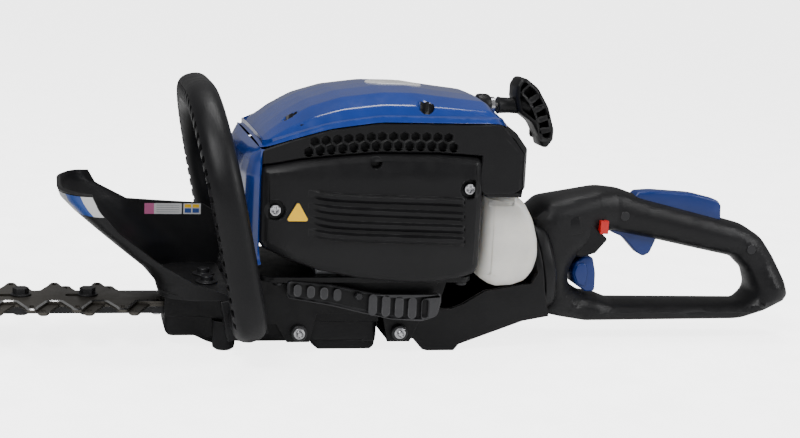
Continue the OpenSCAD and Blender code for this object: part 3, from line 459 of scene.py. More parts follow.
LOOKS = {
    "blade_steel": dict(color=(0.085, 0.078, 0.068), rough=0.42, metal=0.75, grain=500.0, depth=0.12,
                        wear=0.8, dust=0.04),
    "ground_edge": dict(color=(0.60, 0.60, 0.60), rough=0.26, metal=1.0, grain=1600.0, depth=0.08, wear=0.2,
                        dust=0.0),
    "dark_steel": dict(color=(0.016, 0.016, 0.018), rough=0.40, metal=0.3, grain=700.0, depth=0.1, wear=0.7,
                       dust=0.01),
    "band_steel": dict(color=(0.045, 0.045, 0.048), rough=0.45, metal=0.4, grain=700.0, depth=0.15,
                       wear=0.5, dust=0.01),
    "bright_steel": dict(color=(0.58, 0.58, 0.60), rough=0.27, metal=1.0, grain=1400.0, depth=0.05,
                         wear=0.3, dust=0.0),
    "casting": dict(color=(0.36, 0.37, 0.385), rough=0.5, metal=0.85, grain=420.0, depth=0.3, wear=0.5,
                    dust=0.05),
    "black_casting": dict(color=(0.007, 0.007, 0.008), rough=0.46, specular=0.25, grain=420.0, depth=0.3,
                          wear=0.7, dust=0.008),
    "black_plastic": dict(color=(0.006, 0.006, 0.0068), rough=0.42, specular=0.25, grain=1300.0, depth=0.16,
                          wear=0.45, dust=0.008),
    "grip_plastic": dict(color=(0.007, 0.007, 0.008), rough=0.42, specular=0.25, grain=1100.0, depth=0.22,
                         wear=0.35, dust=0.008),
    "blue_plastic": dict(color=(0.003, 0.034, 0.235), rough=0.20, grain=260.0, depth=0.015, wear=0.35,
                         dust=0.015, coat=0.6),
    "lever_plastic": dict(color=(0.0025, 0.022, 0.15), rough=0.34, grain=900.0, depth=0.06, wear=0.4,
                          dust=0.02),
    "red_plastic": dict(color=(0.55, 0.012, 0.010), rough=0.34, grain=900.0, depth=0.05, wear=0.3,
                        dust=0.01),
    "tank_plastic": dict(color=(0.80, 0.785, 0.74), rough=0.36, grain=700.0, depth=0.08, wear=0.2,
                         dust=0.02, subsurface=0.6),
    "lining": dict(color=(0.11, 0.08, 0.055), rough=0.8, grain=600.0, depth=0.4),
    "bulb_rubber": dict(color=(0.32, 0.27, 0.15), rough=0.35, grain=800.0, depth=0.05, subsurface=0.3),
    "filter_foam": dict(color=(0.46, 0.44, 0.37), rough=0.9, grain=500.0, depth=0.8),
    "pulley_plastic": dict(color=(0.62, 0.59, 0.52), rough=0.45),
    "sticker_white": dict(color=(0.62, 0.62, 0.62), rough=0.3, grain=300.0, depth=0.02, wear=0.2),
    "sticker_grey": dict(color=(0.30, 0.31, 0.33), rough=0.3, grain=300.0, depth=0.02, wear=0.2),
    "sticker_blue": dict(color=(0.02, 0.07, 0.30), rough=0.3, grain=300.0, depth=0.02, wear=0.2),
    "sticker_pink": dict(color=(0.55, 0.13, 0.30), rough=0.32, grain=300.0, depth=0.02, wear=0.2),
    "sticker_yellow": dict(color=(0.95, 0.55, 0.0), rough=0.32, grain=300.0, depth=0.02, wear=0.2),
    "label_ink": dict(color=(0.02, 0.02, 0.02), rough=0.4, grain=300.0, depth=0.02, wear=0.1),
    "rope_fibre": dict(color=(0.55, 0.53, 0.50), rough=0.85, grain=1800.0, depth=0.8, wear=0.0),
    "floor": dict(color=(0.93, 0.93, 0.93), rough=0.7, grain=40.0, depth=0.0, wear=0.0, dust=0.0),
}


def look(name):
    """The finish of that name, made on first use; the panel's colour goes before the list's."""
    title = name.replace("_", " ") + " finish"
    values = dict(LOOKS[name])
    values["color"] = tuple(getattr(bpy.context.scene.trimmer_colours, name, values["color"]))
    return bpy.data.materials.get(title) or material(title, **values)


# ---------- CAD nodes that keep their own shape ----------

def dress_node(name, material_name, bevel):
    """Rounds a CAD node's edges and gives it its material; its own mesh isn't touched."""
    node = frame["nodes"][name]
    node.data.materials.clear()
    node.data.materials.append(look(material_name))
    weld = node.modifiers.new("joined", "WELD")
    weld.merge_threshold = 0.02 * MM
    flat = node.modifiers.new("flat", "DECIMATE")
    flat.decimate_type = "DISSOLVE"
    flat.angle_limit = math.radians(0.6)
    round_edges(node, bevel, 2, 35)


# ---------- Covers ----------

# how far the side covers and the shroud reach from the middle
SIDE_REACH = -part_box("side_cover")[0][1] / MM
SHROUD_HALF = 76.0
COVER_LOW = [(-80, 166.5), (-58, 174), (-28, 182.5), (10, 188), (56, 188), (100, 188.2), (106, 187.5),
             (118, 182),
             (128, 177)]
COVER_TOP = [(-80, 168), (-72, 177.5), (-58, 189), (-40, 199.2), (-16, 206.8), (16, 211), (41, 211),
             (74, 207),
             (97.5, 204.2), (103, 198.6), (106.5, 195.4), (119, 186), (128, 179)]
COVER_HALF = [(-80, 66), (-74, 72), (-60, 75.4), (-40, 76), (80, 76), (100, 75), (106, 71), (112, 62),
              (120, 44), (128, 12)]
COVER_SECTION = [(0.0, 1.0), (0.3, 0.99), (0.655, 0.875), (0.885, 0.55), (0.985, 0.1), (1.0, 0.0)]
COVER_WELLS = [(46, -66, 4.8, 6.0, 9.0), (46, 66, 4.8, 6.0, 9.0), (-57, -48, 3.2, 7.0, 3.0),
               (-57, 48, 3.2, 7.0, 3.0)]


def smoothed(table, x, width):
    """Reading of a table with its corners rounded over the given width."""
    return sum(between(table, x + width * (k / 4 - 1)) for k in range(9)) / 9


def cover_height(x, share):
    """Height of the top cover at x, where share runs from 0 in the middle to 1 at its side edge."""
    low, top = smoothed(COVER_LOW, x, 6), smoothed(COVER_TOP, x, 2.5)
    return low + (top - low) * smoothed(COVER_SECTION, abs(share), 0.012)


def make_top_cover():
    """Crowned shell with two long creases on each flank and four screw wells; the deep cells of the wells get
    the black finish as painted shade.
    """
    bm = bmesh.new()
    columns, rows = 150, 116
    # cells deep in a well; they get the black finish as painted shade
    painted_shade_cells = set()

    def place(i, j):
        x = -80 + 208 * i / columns
        # the rows stand closer together towards the two sides
        share = math.sin((j / rows - 0.5) * math.pi * 0.94) / math.sin(0.47 * math.pi)
        y, z = smoothed(COVER_HALF, x, 3) * share, cover_height(x, share)
        for wx, wy, radius, stretch, depth in COVER_WELLS:
            away = math.hypot((x - wx) / (stretch if x > wx else radius) * radius, y - wy) / radius
            drop = ease((1.2 - away) / 0.3)
            z -= depth * drop
            if drop > 0.5:
                painted_shade_cells.add((i, j))
        return x, y, z

    corners = sheet(bm, columns, rows, place)
    # cells deep in the wells are painted black: painted shade in the recesses
    for (i, j) in painted_shade_cells:
        for face in corners[i, j].link_faces:
            if corners.get((i + 1, j + 1)) in face.verts:
                face.material_index = 1
    # folded rim under the edge gives the shell its thickness
    edge = [corners[i, 0] for i in range(columns)] + [corners[columns, j] for j in range(rows)] + [
        corners[i, rows] for i in range(columns, 0, -1)] + [corners[0, j] for j in range(rows, 0, -1)]
    inner = [(v.co.x * 0.975, v.co.y * 0.965, v.co.z) for v in edge]
    rim = extrude_ring(bm, edge, [(x, y, z - 0.4) for x, y, z in inner])
    extrude_ring(bm, rim, [(x, y, z + 5) for x, y, z in inner])
    finish_piece("top_shell", bm, "frame", ["top_cover"], [look("blue_plastic"), look("black_plastic")],
                 smooth=32)


def make_emblem():
    """A plain pale badge on the crown of the top cover."""
    bm = bmesh.new()
    outline = slot_outline(35, 0, 46, 30, 0.0, 10)
    pillow(bm, outline, [(0, 0), (0, 1.0), (0.6, 1.4)], plane="xy")
    for v in bm.verts:
        v.co.z += cover_height(v.co.x, v.co.y / SHROUD_HALF) - 0.6
    finish_piece("crown_badge", bm, "frame", [], [look("sticker_white")], smooth=30)


SIDE_TOP = [(-80, 154.8), (-68, 156.5), (-51, 159.7), (-21, 163.1), (10, 165.7), (56, 165.8), (91, 163.6)]


def vent_holes():
    """Honeycomb between the side cover's top edge and the blue cover's lower edge."""
    holes = []
    for row in range(3):
        for k in range(15):
            x = -44 + k * 8.6 + (row % 2) * 4.3
            z = smoothed(SIDE_TOP, x, 14) + 4.8 + row * 7.0
            if x < 70 and z + 3.6 < between(COVER_LOW, x) - 1.2:
                holes.append(ring_points(x, z, 3.5, 6, math.pi / 6))
    return holes


def shroud_band_outline():
    """Side view of the black band, from the side cover's top edge to the blue cover's lower one."""
    low = [(x, z) for x, z in SIDE_TOP if x > -80]
    return ([(-79, 155.2)] + low + [(90, 150), (90.5, 137), (94, 133.5), (118, 134.5), (124, 138),
                                    (124, 166),
            (116, 176), (106, 186.8)] + [(x, z - 0.6) for x,
                                         z in reversed(COVER_LOW) if -80 < x < 101] + [(-79, 166)])


REAR_WALL = [(124, 137), (124, 166), (116, 176.5), (106, 184), (104, 181), (113, 173), (121.5, 164),
             (121.5, 137)]


def make_shroud():
    """The black band under the top cover: two vented side walls, a bulging rear wall and its floor."""
    bm = bmesh.new()
    outline = shroud_band_outline()
    for side in (-1, 1):
        near, far = side * SHROUD_HALF, side * (SHROUD_HALF - 2.4)
        pillow(bm, outline, [(0, far), (0, near - side * 0.8), (0.8, near)], holes=vent_holes())
        # dark plate behind the vents: painted shade standing in for the dark inside of the shroud
        pillow(bm, oblong(-50, 152, 76, 185), [(0, side * 68.2), (0, side * 69)])
    # rear wall, bulging between the two corners
    loops = []
    for j in range(25):
        y = -SHROUD_HALF + 2 * SHROUD_HALF * j / 24
        bulge = 15 * (1 - abs(y / SHROUD_HALF) ** 2.6)
        loops.append([(x + bulge, y, z) for x, z in REAR_WALL])
    skin(bm, loops)
    # floor of the corner block
    pillow(bm, [(96, -75), (124, -75), (136, -40), (139, 0), (136, 40), (124, 75), (96, 75)],
           [(0, 131.5), (0, 134.5)], plane="xy")
    finish_piece("shroud_band", bm, "frame", ["fan_shroud"], [look("black_plastic")],
                        bevel=0.5, smooth=30)


SIDE_OUTLINE = [(-80, 96), (-76, 90.7), (-56, 81.4), (-32, 72.9), (-1, 66.6), (30, 63.4), (54, 62.6),
                (77.5, 65.7),
                (91, 70.4), (93.6, 77), (93, 130), (91.5, 162.5), (56, 165.2), (10, 165.2), (-21, 162.5),
                (-51, 159.2),
                (-80, 154.2)]
RIB_LINES = [((-43.9, 135), (-17, 131.4), (73.3, 128.9)), ((-43.5, 125.1), (-16.5, 121.4), (73.9, 118)),
             ((-43.1, 115.1), (-16.1, 110.6), (74.5, 107.9)),
             ((-42.7, 105.1), (-15.7, 101.4), (75.1, 98.5))]
SCREW_PLACES = [(-68.5, 121.0), (81.5, 138.3)]


def side_bulge(x, z):
    """How far the side cover's face stands in from its highest plane, in millimetres."""
    left = min(max((-60 - x) / 20, 0), 1)
    right = min(max((x - 84) / 10, 0), 1)
    low = min(max((91 - z) / 27, 0), 1)
    high = min(max((z - 149) / 15, 0), 1)
    return 3.6 * left + 1.2 * right + 6.0 * low + 4.2 * high


def make_side_cover(side, name, node):
    """Crowned side cover with screw wells, kinked ribs and a bevelled edge; side is -1 near, 1 far."""
    bm = bmesh.new()
    outline = arc_corners(SIDE_OUTLINE, [6, 6] + [10] * 5 + [8, 10, 10, 3, 6] + [10] * 4 + [6], 4)
    face = SIDE_REACH - 1.0
    holes = [ring_points(x, z, 8.2, 28) for x, z in SCREW_PLACES]
    if side < 0:
        holes.append(ring_points(7.6, 157.8, 5.0, 24))
    edge = [(0, face - 21), (0, face - 6), (0.8, face - 3.4), (2.6, face - 1.2), (5.2, face - 0.2),
            (6.4, face)]
    well = [(0.9, face - 8), (0.6, face - 0.8), (0, face)]
    rims = []
    for outline, levels in [(outline, edge)] + [(hole, well) for hole in holes]:
        outline = anticlockwise(outline)
        rings = skin(bm, [[(u, side * place, v) for u, v in inset(outline, width)] for width,
                          place in levels])
        if levels is well:
            bm.faces.new(rings[0])
        rims.append(rings[-1])
    cap(bm, rims)
    slice_grid(bm, (-80, 62), (94, 166), 6.0,
               lambda f: all(abs(v.co.y - side * face) < 0.01 for v in f.verts))
    for v in bm.verts:
        if abs(v.co.y) > SIDE_REACH - 9:
            v.co.y -= side * side_bulge(v.co.x, v.co.z)
    if side < 0:
        for (x0, z0), (x1, z1), (x2, z2) in RIB_LINES:
            rib(bm, [(x0, z0), (x1, z1), (x2 - 4, z2), (x2, z2 - 1)], 5.0, 3.0, side)
    finish_piece(name, bm, "frame", [node], [look("black_plastic")], smooth=28)


def rib(bm, line, width, height, side):
    """A raised bar with sloping flanks that follows the side cover's face."""
    points = curve_through([Vector((x, 0, z)) for x, z in line], 7)
    loops = []
    for i, p in enumerate(points):
        ends = min(1.0, min(i, len(points) - 1 - i) / 3)
        base = SIDE_REACH - 1.0 - side_bulge(p.x, p.z)
        low, top = side * (base - 0.8), side * (base + height * ends)
        loops.append([(p.x, low, p.z + width * 0.75), (p.x, top, p.z + width * 0.32),
                      (p.x, top, p.z - width * 0.2), (p.x, low, p.z - width * 0.9)])
    rings = skin(bm, loops)
    bm.faces.new(rings[0])
    bm.faces.new(rings[-1])


class TRIMMER_OT_covers(bpy.types.Operator):
    """Makes the top cover, its badge, the vented band and the two side covers"""
    bl_idname = "trimmer.covers"
    bl_label = "Covers"

    def execute(self, context):
        make_top_cover()
        make_emblem()
        make_shroud()
        make_side_cover(-1, "near_cover", "side_cover")
        make_side_cover(1, "far_cover", "filter_cover")
        return {"FINISHED"}


# ---------- Rear handle ----------

def edge_distance(point, outlines):
    """Shortest way in the X-Z plane from a point to any of the closed outlines."""
    best = 1e9
    for outline in outlines:
        for a, b in zip(outline, outline[1:] + outline[:1]):
            along = (b[0] - a[0], b[1] - a[1])
            size = along[0] ** 2 + along[1] ** 2
            if size < 1e-9:
                continue
            t = min(1.0, max(0.0, ((point[0] - a[0]) * along[0] + (point[1] - a[1]) * along[1]) / size))
            best = min(best, math.hypot(point[0] - a[0] - t * along[0], point[1] - a[1] - t * along[1]))
    return best


def slice_grid(bm, low, high, spacing, chosen):
    """Cuts the chosen faces into small squares over the X-Z range."""
    for axis in (0, 2):
        normal = Vector((axis == 0, 0, axis == 2))
        first, last = int(low[axis == 2] / spacing), int(high[axis == 2] / spacing)
        for k in range(first, last + 1):
            faces = [f for f in bm.faces if chosen(f)]
            geom = set(faces) | {e for f in faces for e in f.edges} | {v for f in faces for v in f.verts}
            bmesh.ops.bisect_plane(bm, geom=list(geom), dist=1e-4, plane_co=normal * k * spacing,
                                   plane_no=normal)


HANDLE_OUTLINE = [(149.6, 106.5), (164.2, 23), (184, 18.5), (206, 14.6), (342, 15.6), (364, 22.6),
                  (380, 31), (385, 39),
                  (381, 52), (371, 70), (359, 86.5), (341, 97.5), (305, 106.7), (251, 119.8), (229, 127.3),
                  (211, 129),
                  (163, 119.5)]
HANDLE_RADII = [3, 3, 20, 30, 40, 30, 6, 10, 30, 30, 30, 40, 60, 60, 30, 30, 16]
# the gap's front end is cut back in a half round beside the turn latch
HAND_GAP = [(228, 33.5), (345, 32.5), (353.5, 41), (346.5, 58), (334, 69.5), (307, 75), (262, 84.5),
            (224.5, 91.5),
            (215.5, 86.5), (204.5, 75), (194, 69), (188, 57), (192, 46), (203, 40), (215, 38.5)]
GAP_RADII = [14, 9, 9, 16, 14, 40, 60, 10, 8, 8, 12, 14, 14, 14, 10]


def handle_half_width(x, z):
    """Half width of the handle: wide round the seam and in the lower bar, slim in the grip."""
    trunk = between([(168, 31), (196, 25), (226, 17.5)], x)
    low = between([(46, 24.5), (66, 16.5)], z) if x > 196 else trunk
    return max(trunk, low, 16.5)


def make_handle():
    """The grip round the hand gap, the flange at the seam and the switch housing."""
    outline = arc_corners(HANDLE_OUTLINE, HANDLE_RADII, 5)
    gap = arc_corners(HAND_GAP, GAP_RADII, 5)
    reach = 15.0
    bm = bmesh.new()
    levels = [(0.0, 0.0), (0.35, 0.22), (1.2, 0.41), (2.6, 0.59), (4.4, 0.75)]
    stack = [(w, -h) for w, h in reversed(levels)] + levels[1:]
    pillow(bm, outline, stack, [gap])
    top = levels[-1][1]
    slice_grid(bm, (150, 15), (386, 130), 5.0,
               lambda f: all(abs(abs(v.co.y) - top) < 1e-3 for v in f.verts))
    for v in bm.verts:
        share = abs(v.co.y)
        if share > top - 1e-3:
            d = edge_distance((v.co.x, v.co.z), (outline, gap))
            share = top + (1 - top) * math.sin(min(1.0, max(0.0, (d - 4.4) / (reach - 4.4))) * math.pi / 2)
        v.co.y = math.copysign(share, v.co.y) * handle_half_width(v.co.x, v.co.z) if share > 0 else 0.0
    finish_piece("handle_shell", bm, "rear_handle", ["handle_near", "handle_far"], [look("grip_plastic")],
                 smooth=50)
    seam = frame_axis_at_seam()
    bm = bmesh.new()
    # flange at the seam
    lathe(bm, [(12, 0.4), (40.5, 0.4), (42, 1.6), (42, 7.5), (40.8, 9.6), (36, 12.5), (28, 14.5), (12, 15)],
          seam[0], seam[1], 64)
    finish_piece("handle_flange", bm, "rear_handle", [], [look("grip_plastic")], smooth=35)
    bm = bmesh.new()
    # raised housing of the stop switch, and a shallow plate in front of it
    housing = arc_corners([(191.5, 110.5), (216.5, 87.8), (206.5, 76), (193, 71.5), (181, 80), (180.5, 93)],
                          [1.5, 2, 3, 8, 8, 6], 4)
    pillow(bm, housing, [(0, -14), (0, -22.4), (0.5, -24), (1.6, -24.9)])
    for v in bm.verts:
        if v.co.y < -20:
            v.co.y += max(0.0, 204 - v.co.x) * 0.16
    pillow(bm, arc_corners([(164, 87.5), (193.5, 94), (190, 107), (164.5, 101.5)], 1.5, 3),
           [(0, -20), (0, -between([(160, 30.2), (196, 24.6)], 178) - 0.2),
            (0.6, -between([(160, 30.2), (196, 24.6)], 178) - 0.6)])
    finish_piece("switch_housing", bm, "rear_handle", [], [look("grip_plastic")], smooth=35)
    make_levers()


def make_levers():
    """Lockout lever, throttle trigger and turn latch, with rounded edges."""
    bm = bmesh.new()
    outline = arc_corners([(243.3, 121.5), (246, 124.4), (259, 125.4), (294.3, 123.2), (316.5, 118),
                           (319.8, 113.5),
                           (320.6, 100.5), (300, 99), (268, 108), (244, 114)],
                           [0.5, 4, 60, 60, 6, 3, 2, 20, 30, 2], 5)
    pillow(bm, outline, round_levels(-7.6, 7.6, 2.2, 4))
    finish_piece("lockout_paddle", bm, "lockout", ["lockout_lever"], [look("lever_plastic")],
                 smooth=45)
    bm = bmesh.new()
    outline = arc_corners([(224, 91), (237, 85.6), (249.8, 72.4), (255.5, 69.4), (261, 72), (265.8, 84),
                           (266, 92), (236, 99)],
                          [2, 14, 6, 4, 6, 8, 2, 2], 5)
    pillow(bm, outline, round_levels(-5.2, 5.2, 1.8, 4))
    finish_piece("trigger_blade", bm, "trigger", ["throttle_trigger"], [look("lever_plastic")],
                 smooth=45)
    bm = bmesh.new()
    # the latch is a drum with a thumb rest and a raised middle
    outline = arc_corners([(190.5, 58), (193, 67), (199, 71.5), (207.5, 71.5), (210.8, 58), (211, 42),
                           (203, 42), (194, 48)],
                          [8, 6, 4, 3, 30, 3, 4, 8], 5)
    pillow(bm, outline, round_levels(-17, 17, 2.0, 4))
    inner = arc_corners([(191.5, 58), (194, 66), (201.5, 67.5), (203.5, 58), (202, 46), (195, 49)],
                        [8, 5, 4, 20, 4, 6], 5)
    pillow(bm, inner, round_levels(-18.6, 18.6, 1.4, 3))
    finish_piece("latch_drum", bm, "turn_latch", ["turn_latch"], [look("lever_plastic")],
                 smooth=45)


def frame_axis_at_seam():
    """The point and the axis round which the rear handle turns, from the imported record."""
    for joint in frame["record"]["behaviour"]["joints"]:
        if joint["name"] == "handle_turn":
            return Vector(joint["pos_m"]) / MM, Vector(joint["axis"])
    raise RuntimeError("the record has no handle_turn joint")


class TRIMMER_OT_rear_handle(bpy.types.Operator):
    """Makes the rear handle, its flange, switch housing, levers and turn latch"""
    bl_idname = "trimmer.rear_handle"
    bl_label = "Rear handle"

    def execute(self, context):
        make_handle()
        return {"FINISHED"}


# ---------- Front handle ----------

def make_loop():
    """Loop handle with a row of open slots along its front edge."""
    lean = math.radians(11.7)
    up, ahead = Vector((-math.sin(lean), 0, math.cos(lean))), Vector((math.cos(lean), 0, math.sin(lean)))
    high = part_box("front_handle")[1][2] / MM - 12.0
    rise = (high - 33.0) / math.cos(lean)
    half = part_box("front_handle")[1][1] / MM - 12.0
    base = Vector((-80 - 33 * math.tan(lean), 0, 33))
    flat = arc_corners([(-56, 0), (-half, 0), (-half, rise), (half, rise), (half, 0), (56, 0)],
                       [0, 26, 78, 78, 26, 0], 12)
    line = [base + Vector((0, y, 0)) + up * v for y, v in flat]
    # every other station starts a slot
    total, lengths = 0.0, [0.0]
    for a, b in zip(line, line[1:]):
        total += (b - a).length
        lengths.append(total)
    count = int(total / 4.7)

    def at(s):
        for i in range(len(line) - 1):
            if s <= lengths[i + 1] or i == len(line) - 2:
                return line[i].lerp(line[i + 1], (s - lengths[i]) / (lengths[i + 1] - lengths[i]))
    stations = [at(total * k / count) for k in range(count + 1)]
    radius, sides = sizes().loop_thickness / 2 / MM, 30
    profile = []
    for k in range(sides):
        angle = k * math.tau / sides
        c, s = math.cos(angle), math.sin(angle)
        size = radius / (abs(c) ** 2.5 + abs(s) ** 2.5) ** (1 / 2.5)
        profile.append((size * c * 1.03, size * s))
    bm = bmesh.new()
    rings = sweep(bm, stations, profile, ahead)
    bmesh.ops.recalc_face_normals(bm, faces=bm.faces)
    slots = []
    for i in range(6, count - 6, 2):
        if stations[i].z < 38 or (abs(stations[i].y) < 62 and stations[i].z < 120):
            continue
        for k in range(sides):
            angle = (k + 0.5) * 360 / sides
            if 156 < angle < 216:
                a, b = rings[i][k], rings[i][(k + 1) % sides]
                c, d = rings[i + 1][(k + 1) % sides], rings[i + 1][k]
                slots += [f for f in a.link_faces if b in f.verts and c in f.verts and d in f.verts]
    bmesh.ops.inset_region(bm, faces=slots, thickness=0.3, depth=-6.0, use_even_offset=True)
    finish_piece("loop_handle", bm, "frame", ["front_handle"], [look("grip_plastic")],
                 smooth=50)


# ---------- Blade guard ----------

GUARD_HALF, GUARD_WALL = 60, 3.2
GUARD_FRONT = [(46, -151), (56, -155), (67, -165), (89, -192), (110, -217), (121, -228), (128, -231)]
GUARD_NEAR = [(46, -96), (50, -98), (58.8, -126), (74.5, -153), (97.7, -183.6), (115.3, -199), (128, -205)]
GUARD_FAR = [(46, -96), (50, -96), (83, -91), (93, -98), (101, -110), (102.6, -139), (103.4, -171),
             (117.7, -199),
             (128, -205)]


def guard_line(z, out=0.0, steps=9):
    """The guard's outer line at one level, from its near rear end round the front to the far one."""
    half = GUARD_HALF + out
    front, near, far = between(GUARD_FRONT, z) - out, between(GUARD_NEAR, z), between(GUARD_FAR, z)
    corner = 40 - 10 * ease((70 - z) / 20)
    line = []
    for side, rear in ((-1, near), (1, far)):
        reach = min(corner, rear - front - 0.4)
        part = [(rear + (front + reach - rear) * k / 8, side * half) for k in range(8)]
        part += [(front + reach * (1 - math.sin(k / steps * math.pi / 2)),
                  side * (half - corner * (1 - math.cos(k / steps * math.pi / 2)))) for k in range(steps + 1)]
        line.append(part)
    return line[0] + [(front, 0.0)] + line[1][::-1]


def make_guard():
    """The shield: a wall that rises round the front, and a floor over the gear case."""
    bm = bmesh.new()
    levels = [46, 50, 54] + [54 + 74 * k / 44 for k in range(1, 45)]
    lines = [guard_line(z) for z in levels]
    sheet(bm, len(lines[0]) - 1, len(levels) - 1, lambda i, j: (*lines[j][i], levels[j]))
    thicken(bm, GUARD_WALL)
    # floor with a raised edge, over the gear case
    pillow(bm, arc_corners([(-152, -58), (-97, -58), (-97, 58), (-152, 58)], [24, 3, 3, 24], 6),
           [(0, 46.2), (0, 49.5), (0.6, 50)], plane="xy")
    finish_piece("blade_shield", bm, "frame", ["blade_guard"], [look("black_plastic")],
                         bevel=0.9, segments=3, smooth=42)
    make_stickers()


def make_stickers():
    """Plain coloured stickers: one round the shield's tip, one along the top of its far wall."""
    bm = bmesh.new()
    start, stop = 6, 18
    levels = [111 + 15.5 * k / 6 for k in range(7)]
    lines = [guard_line(z, out=0.25)[start:stop] for z in levels]
    corners = sheet(bm, stop - start - 1, 6, lambda i, j: (*lines[j][i], levels[j]))
    column = {vertex: i for (i, j), vertex in corners.items()}
    for face in bm.faces:
        i = min(column[vertex] for vertex in face.verts)
        face.material_index = 0 if i < 4 else (1 if i < 7 else 2)
    finish_piece("tip_sticker", bm, "frame", [], [look("sticker_white"), look("sticker_blue"),
                                                  look("sticker_grey")],
                 smooth=60)
    bm = bmesh.new()
    place = GUARD_HALF - GUARD_WALL - 0.25
    face, ink = [(0, place - 0.1), (0, place + 0.3)], [(0, place - 0.2), (0, place + 0.1)]
    for low, high, index in [(-158, -150, 1), (-150, -127, 0), (-127, -125.5, 2), (-125.5, -111, 0)]:
        pillow(bm, oblong(low, 91.5, high, 100.5), face, index=index)
    for x in (-124.5, -117.9):
        pillow(bm, oblong(x, 92.6, x + 5.5, 96.4), ink, index=3)
        pillow(bm, oblong(x, 97, x + 5.5, 99.8), ink, index=4)
    for k in range(4):
        pillow(bm, oblong(-148, 93 + 1.9 * k, -129, 93.5 + 1.9 * k), ink, index=5)
    finish_piece("wall_label", bm, "frame", [], [look("sticker_white"), look("sticker_pink"),
                                                 look("label_ink"),
                                                 look("sticker_blue"), look("sticker_yellow"),
                                                 look("sticker_grey")],
                 smooth=30)


# ---------- Starter handle ----------

# height of the rope above the ground, and where the stretch outside the shroud begins and ends
ROPE_Z, ROPE_START, ROPE_END = 194, 106, 124
GRIP_OUTLINE = [(134.7, 201.6), (134.9, 211), (138.5, 217.3), (143.5, 216.8), (153.5, 209.3), (163, 193.9),
                (168.6, 176), (168.3, 167.5), (163.7, 161), (158.6, 161.6), (156.3, 169.5), (150, 181),
                (137.3, 190)]


def make_starter():
    """T-grip with ribs along its outer side, and the bush and eyelet that its rope runs through."""
    bm = bmesh.new()
    outline = arc_corners(GRIP_OUTLINE, [8, 4, 4, 4, 14, 18, 8, 4, 3, 3, 5, 14, 8], 4)
    # pockets between ribs, along the outer side
    arc = [(145.5, 211), (152.6, 203.5), (157.8, 195.2), (161.6, 186), (164, 176), (164.3, 168.5)]
    pockets = []
    for a, b in zip(arc, arc[1:]):
        a, b = Vector(a), Vector(b)
        along = (b - a).normalized()
        across = Vector((along.y, -along.x))
        a, b = a + along * 0.9, b - along * 0.9
        across = across if across.x < 0 else -across
        pockets.append(arc_corners([tuple(a), tuple(b), tuple(b + across * 6.4), tuple(a + across * 6.4)],
                                   0.8, 2))
    pillow(bm, outline, round_levels(-12, 12, 3.0, 3), holes=pockets)
    pillow(bm, inset(anticlockwise(outline), 1.2), [(0, -1.2), (0, 1.2)])
    neck = [(4.2, 0), (6.6, 0), (7.2, 0.8), (6.6, 2), (6.3, 10), (6.9, 20), (8.6, 26), (4, 28)]
    lathe(bm, neck, (122.4, 0, ROPE_Z), (1, 0, 0), 36)
    finish_piece("starter_grip", bm, "starter_handle", ["starter_handle"], [look("black_plastic")],
                 bevel=0.4, smooth=36)
    bm = bmesh.new()
    lathe(bm, [(4, 100), (6.9, 100), (6.9, 104.5), (8.8, 105.5), (9.3, 108), (9.1, 113.5), (8.2, 115.4),
               (4, 116)],
          (0, 0, ROPE_Z), (1, 0, 0), 40)
    finish_piece("rope_bush", bm, "frame", ["rope_ferrule"], [look("black_plastic")],
                 bevel=0.3, smooth=36)
    bm = bmesh.new()
    lathe(bm, [(2.4, 115.6), (6.2, 115.6), (6.8, 116.4), (6.8, 119.2), (6.0, 120.2), (2.4, 120.2)],
          (0, 0, ROPE_Z), (1, 0, 0), 40)
    finish_piece("rope_eyelet", bm, "frame", [], [look("bright_steel")], smooth=36)
    make_rope()


def make_rope():
    """The stretch of rope between the bush and the grip, at its length at rest."""
    thickness = sizes().rope_thickness / MM
    bm = bmesh.new()
    steps = [(thickness / 2, x) for x in range(ROPE_START, ROPE_END, 2)]
    profile = [(0, ROPE_START)] + steps + [(thickness / 2, ROPE_END), (0, ROPE_END)]
    lathe(bm, profile, (0, 0, ROPE_Z), (1, 0, 0), 16)
    rope = finish_piece("starter_rope", bm, None, [], [look("rope_fibre")], smooth=60)
    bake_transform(rope)


# ---------- Screws ----------

def cross_head(bm, x, y, z, side, radius):
    """A flat screw head with a cross recess, facing -Y or +Y."""
    arm, wide = radius * 0.62, radius * 0.15
    plus = []
    for k in range(4):
        c, s = math.cos(k * math.pi / 2), math.sin(k * math.pi / 2)
        for u, v in ((arm, -wide), (arm, wide), (wide, wide)):
            plus.append((x + c * u - s * v, z + s * u + c * v))
    pillow(bm, ring_points(x, z, radius, 32), [(0, y - side * 3.4), (0, y - side * 0.9),
                                               (0.35, y - side * 0.3), (1.1, y)],
           holes=[plus])
    pillow(bm, ring_points(x, z, radius * 0.8, 20), [(0, y - side * 3.2), (0, y - side * 2.2)])


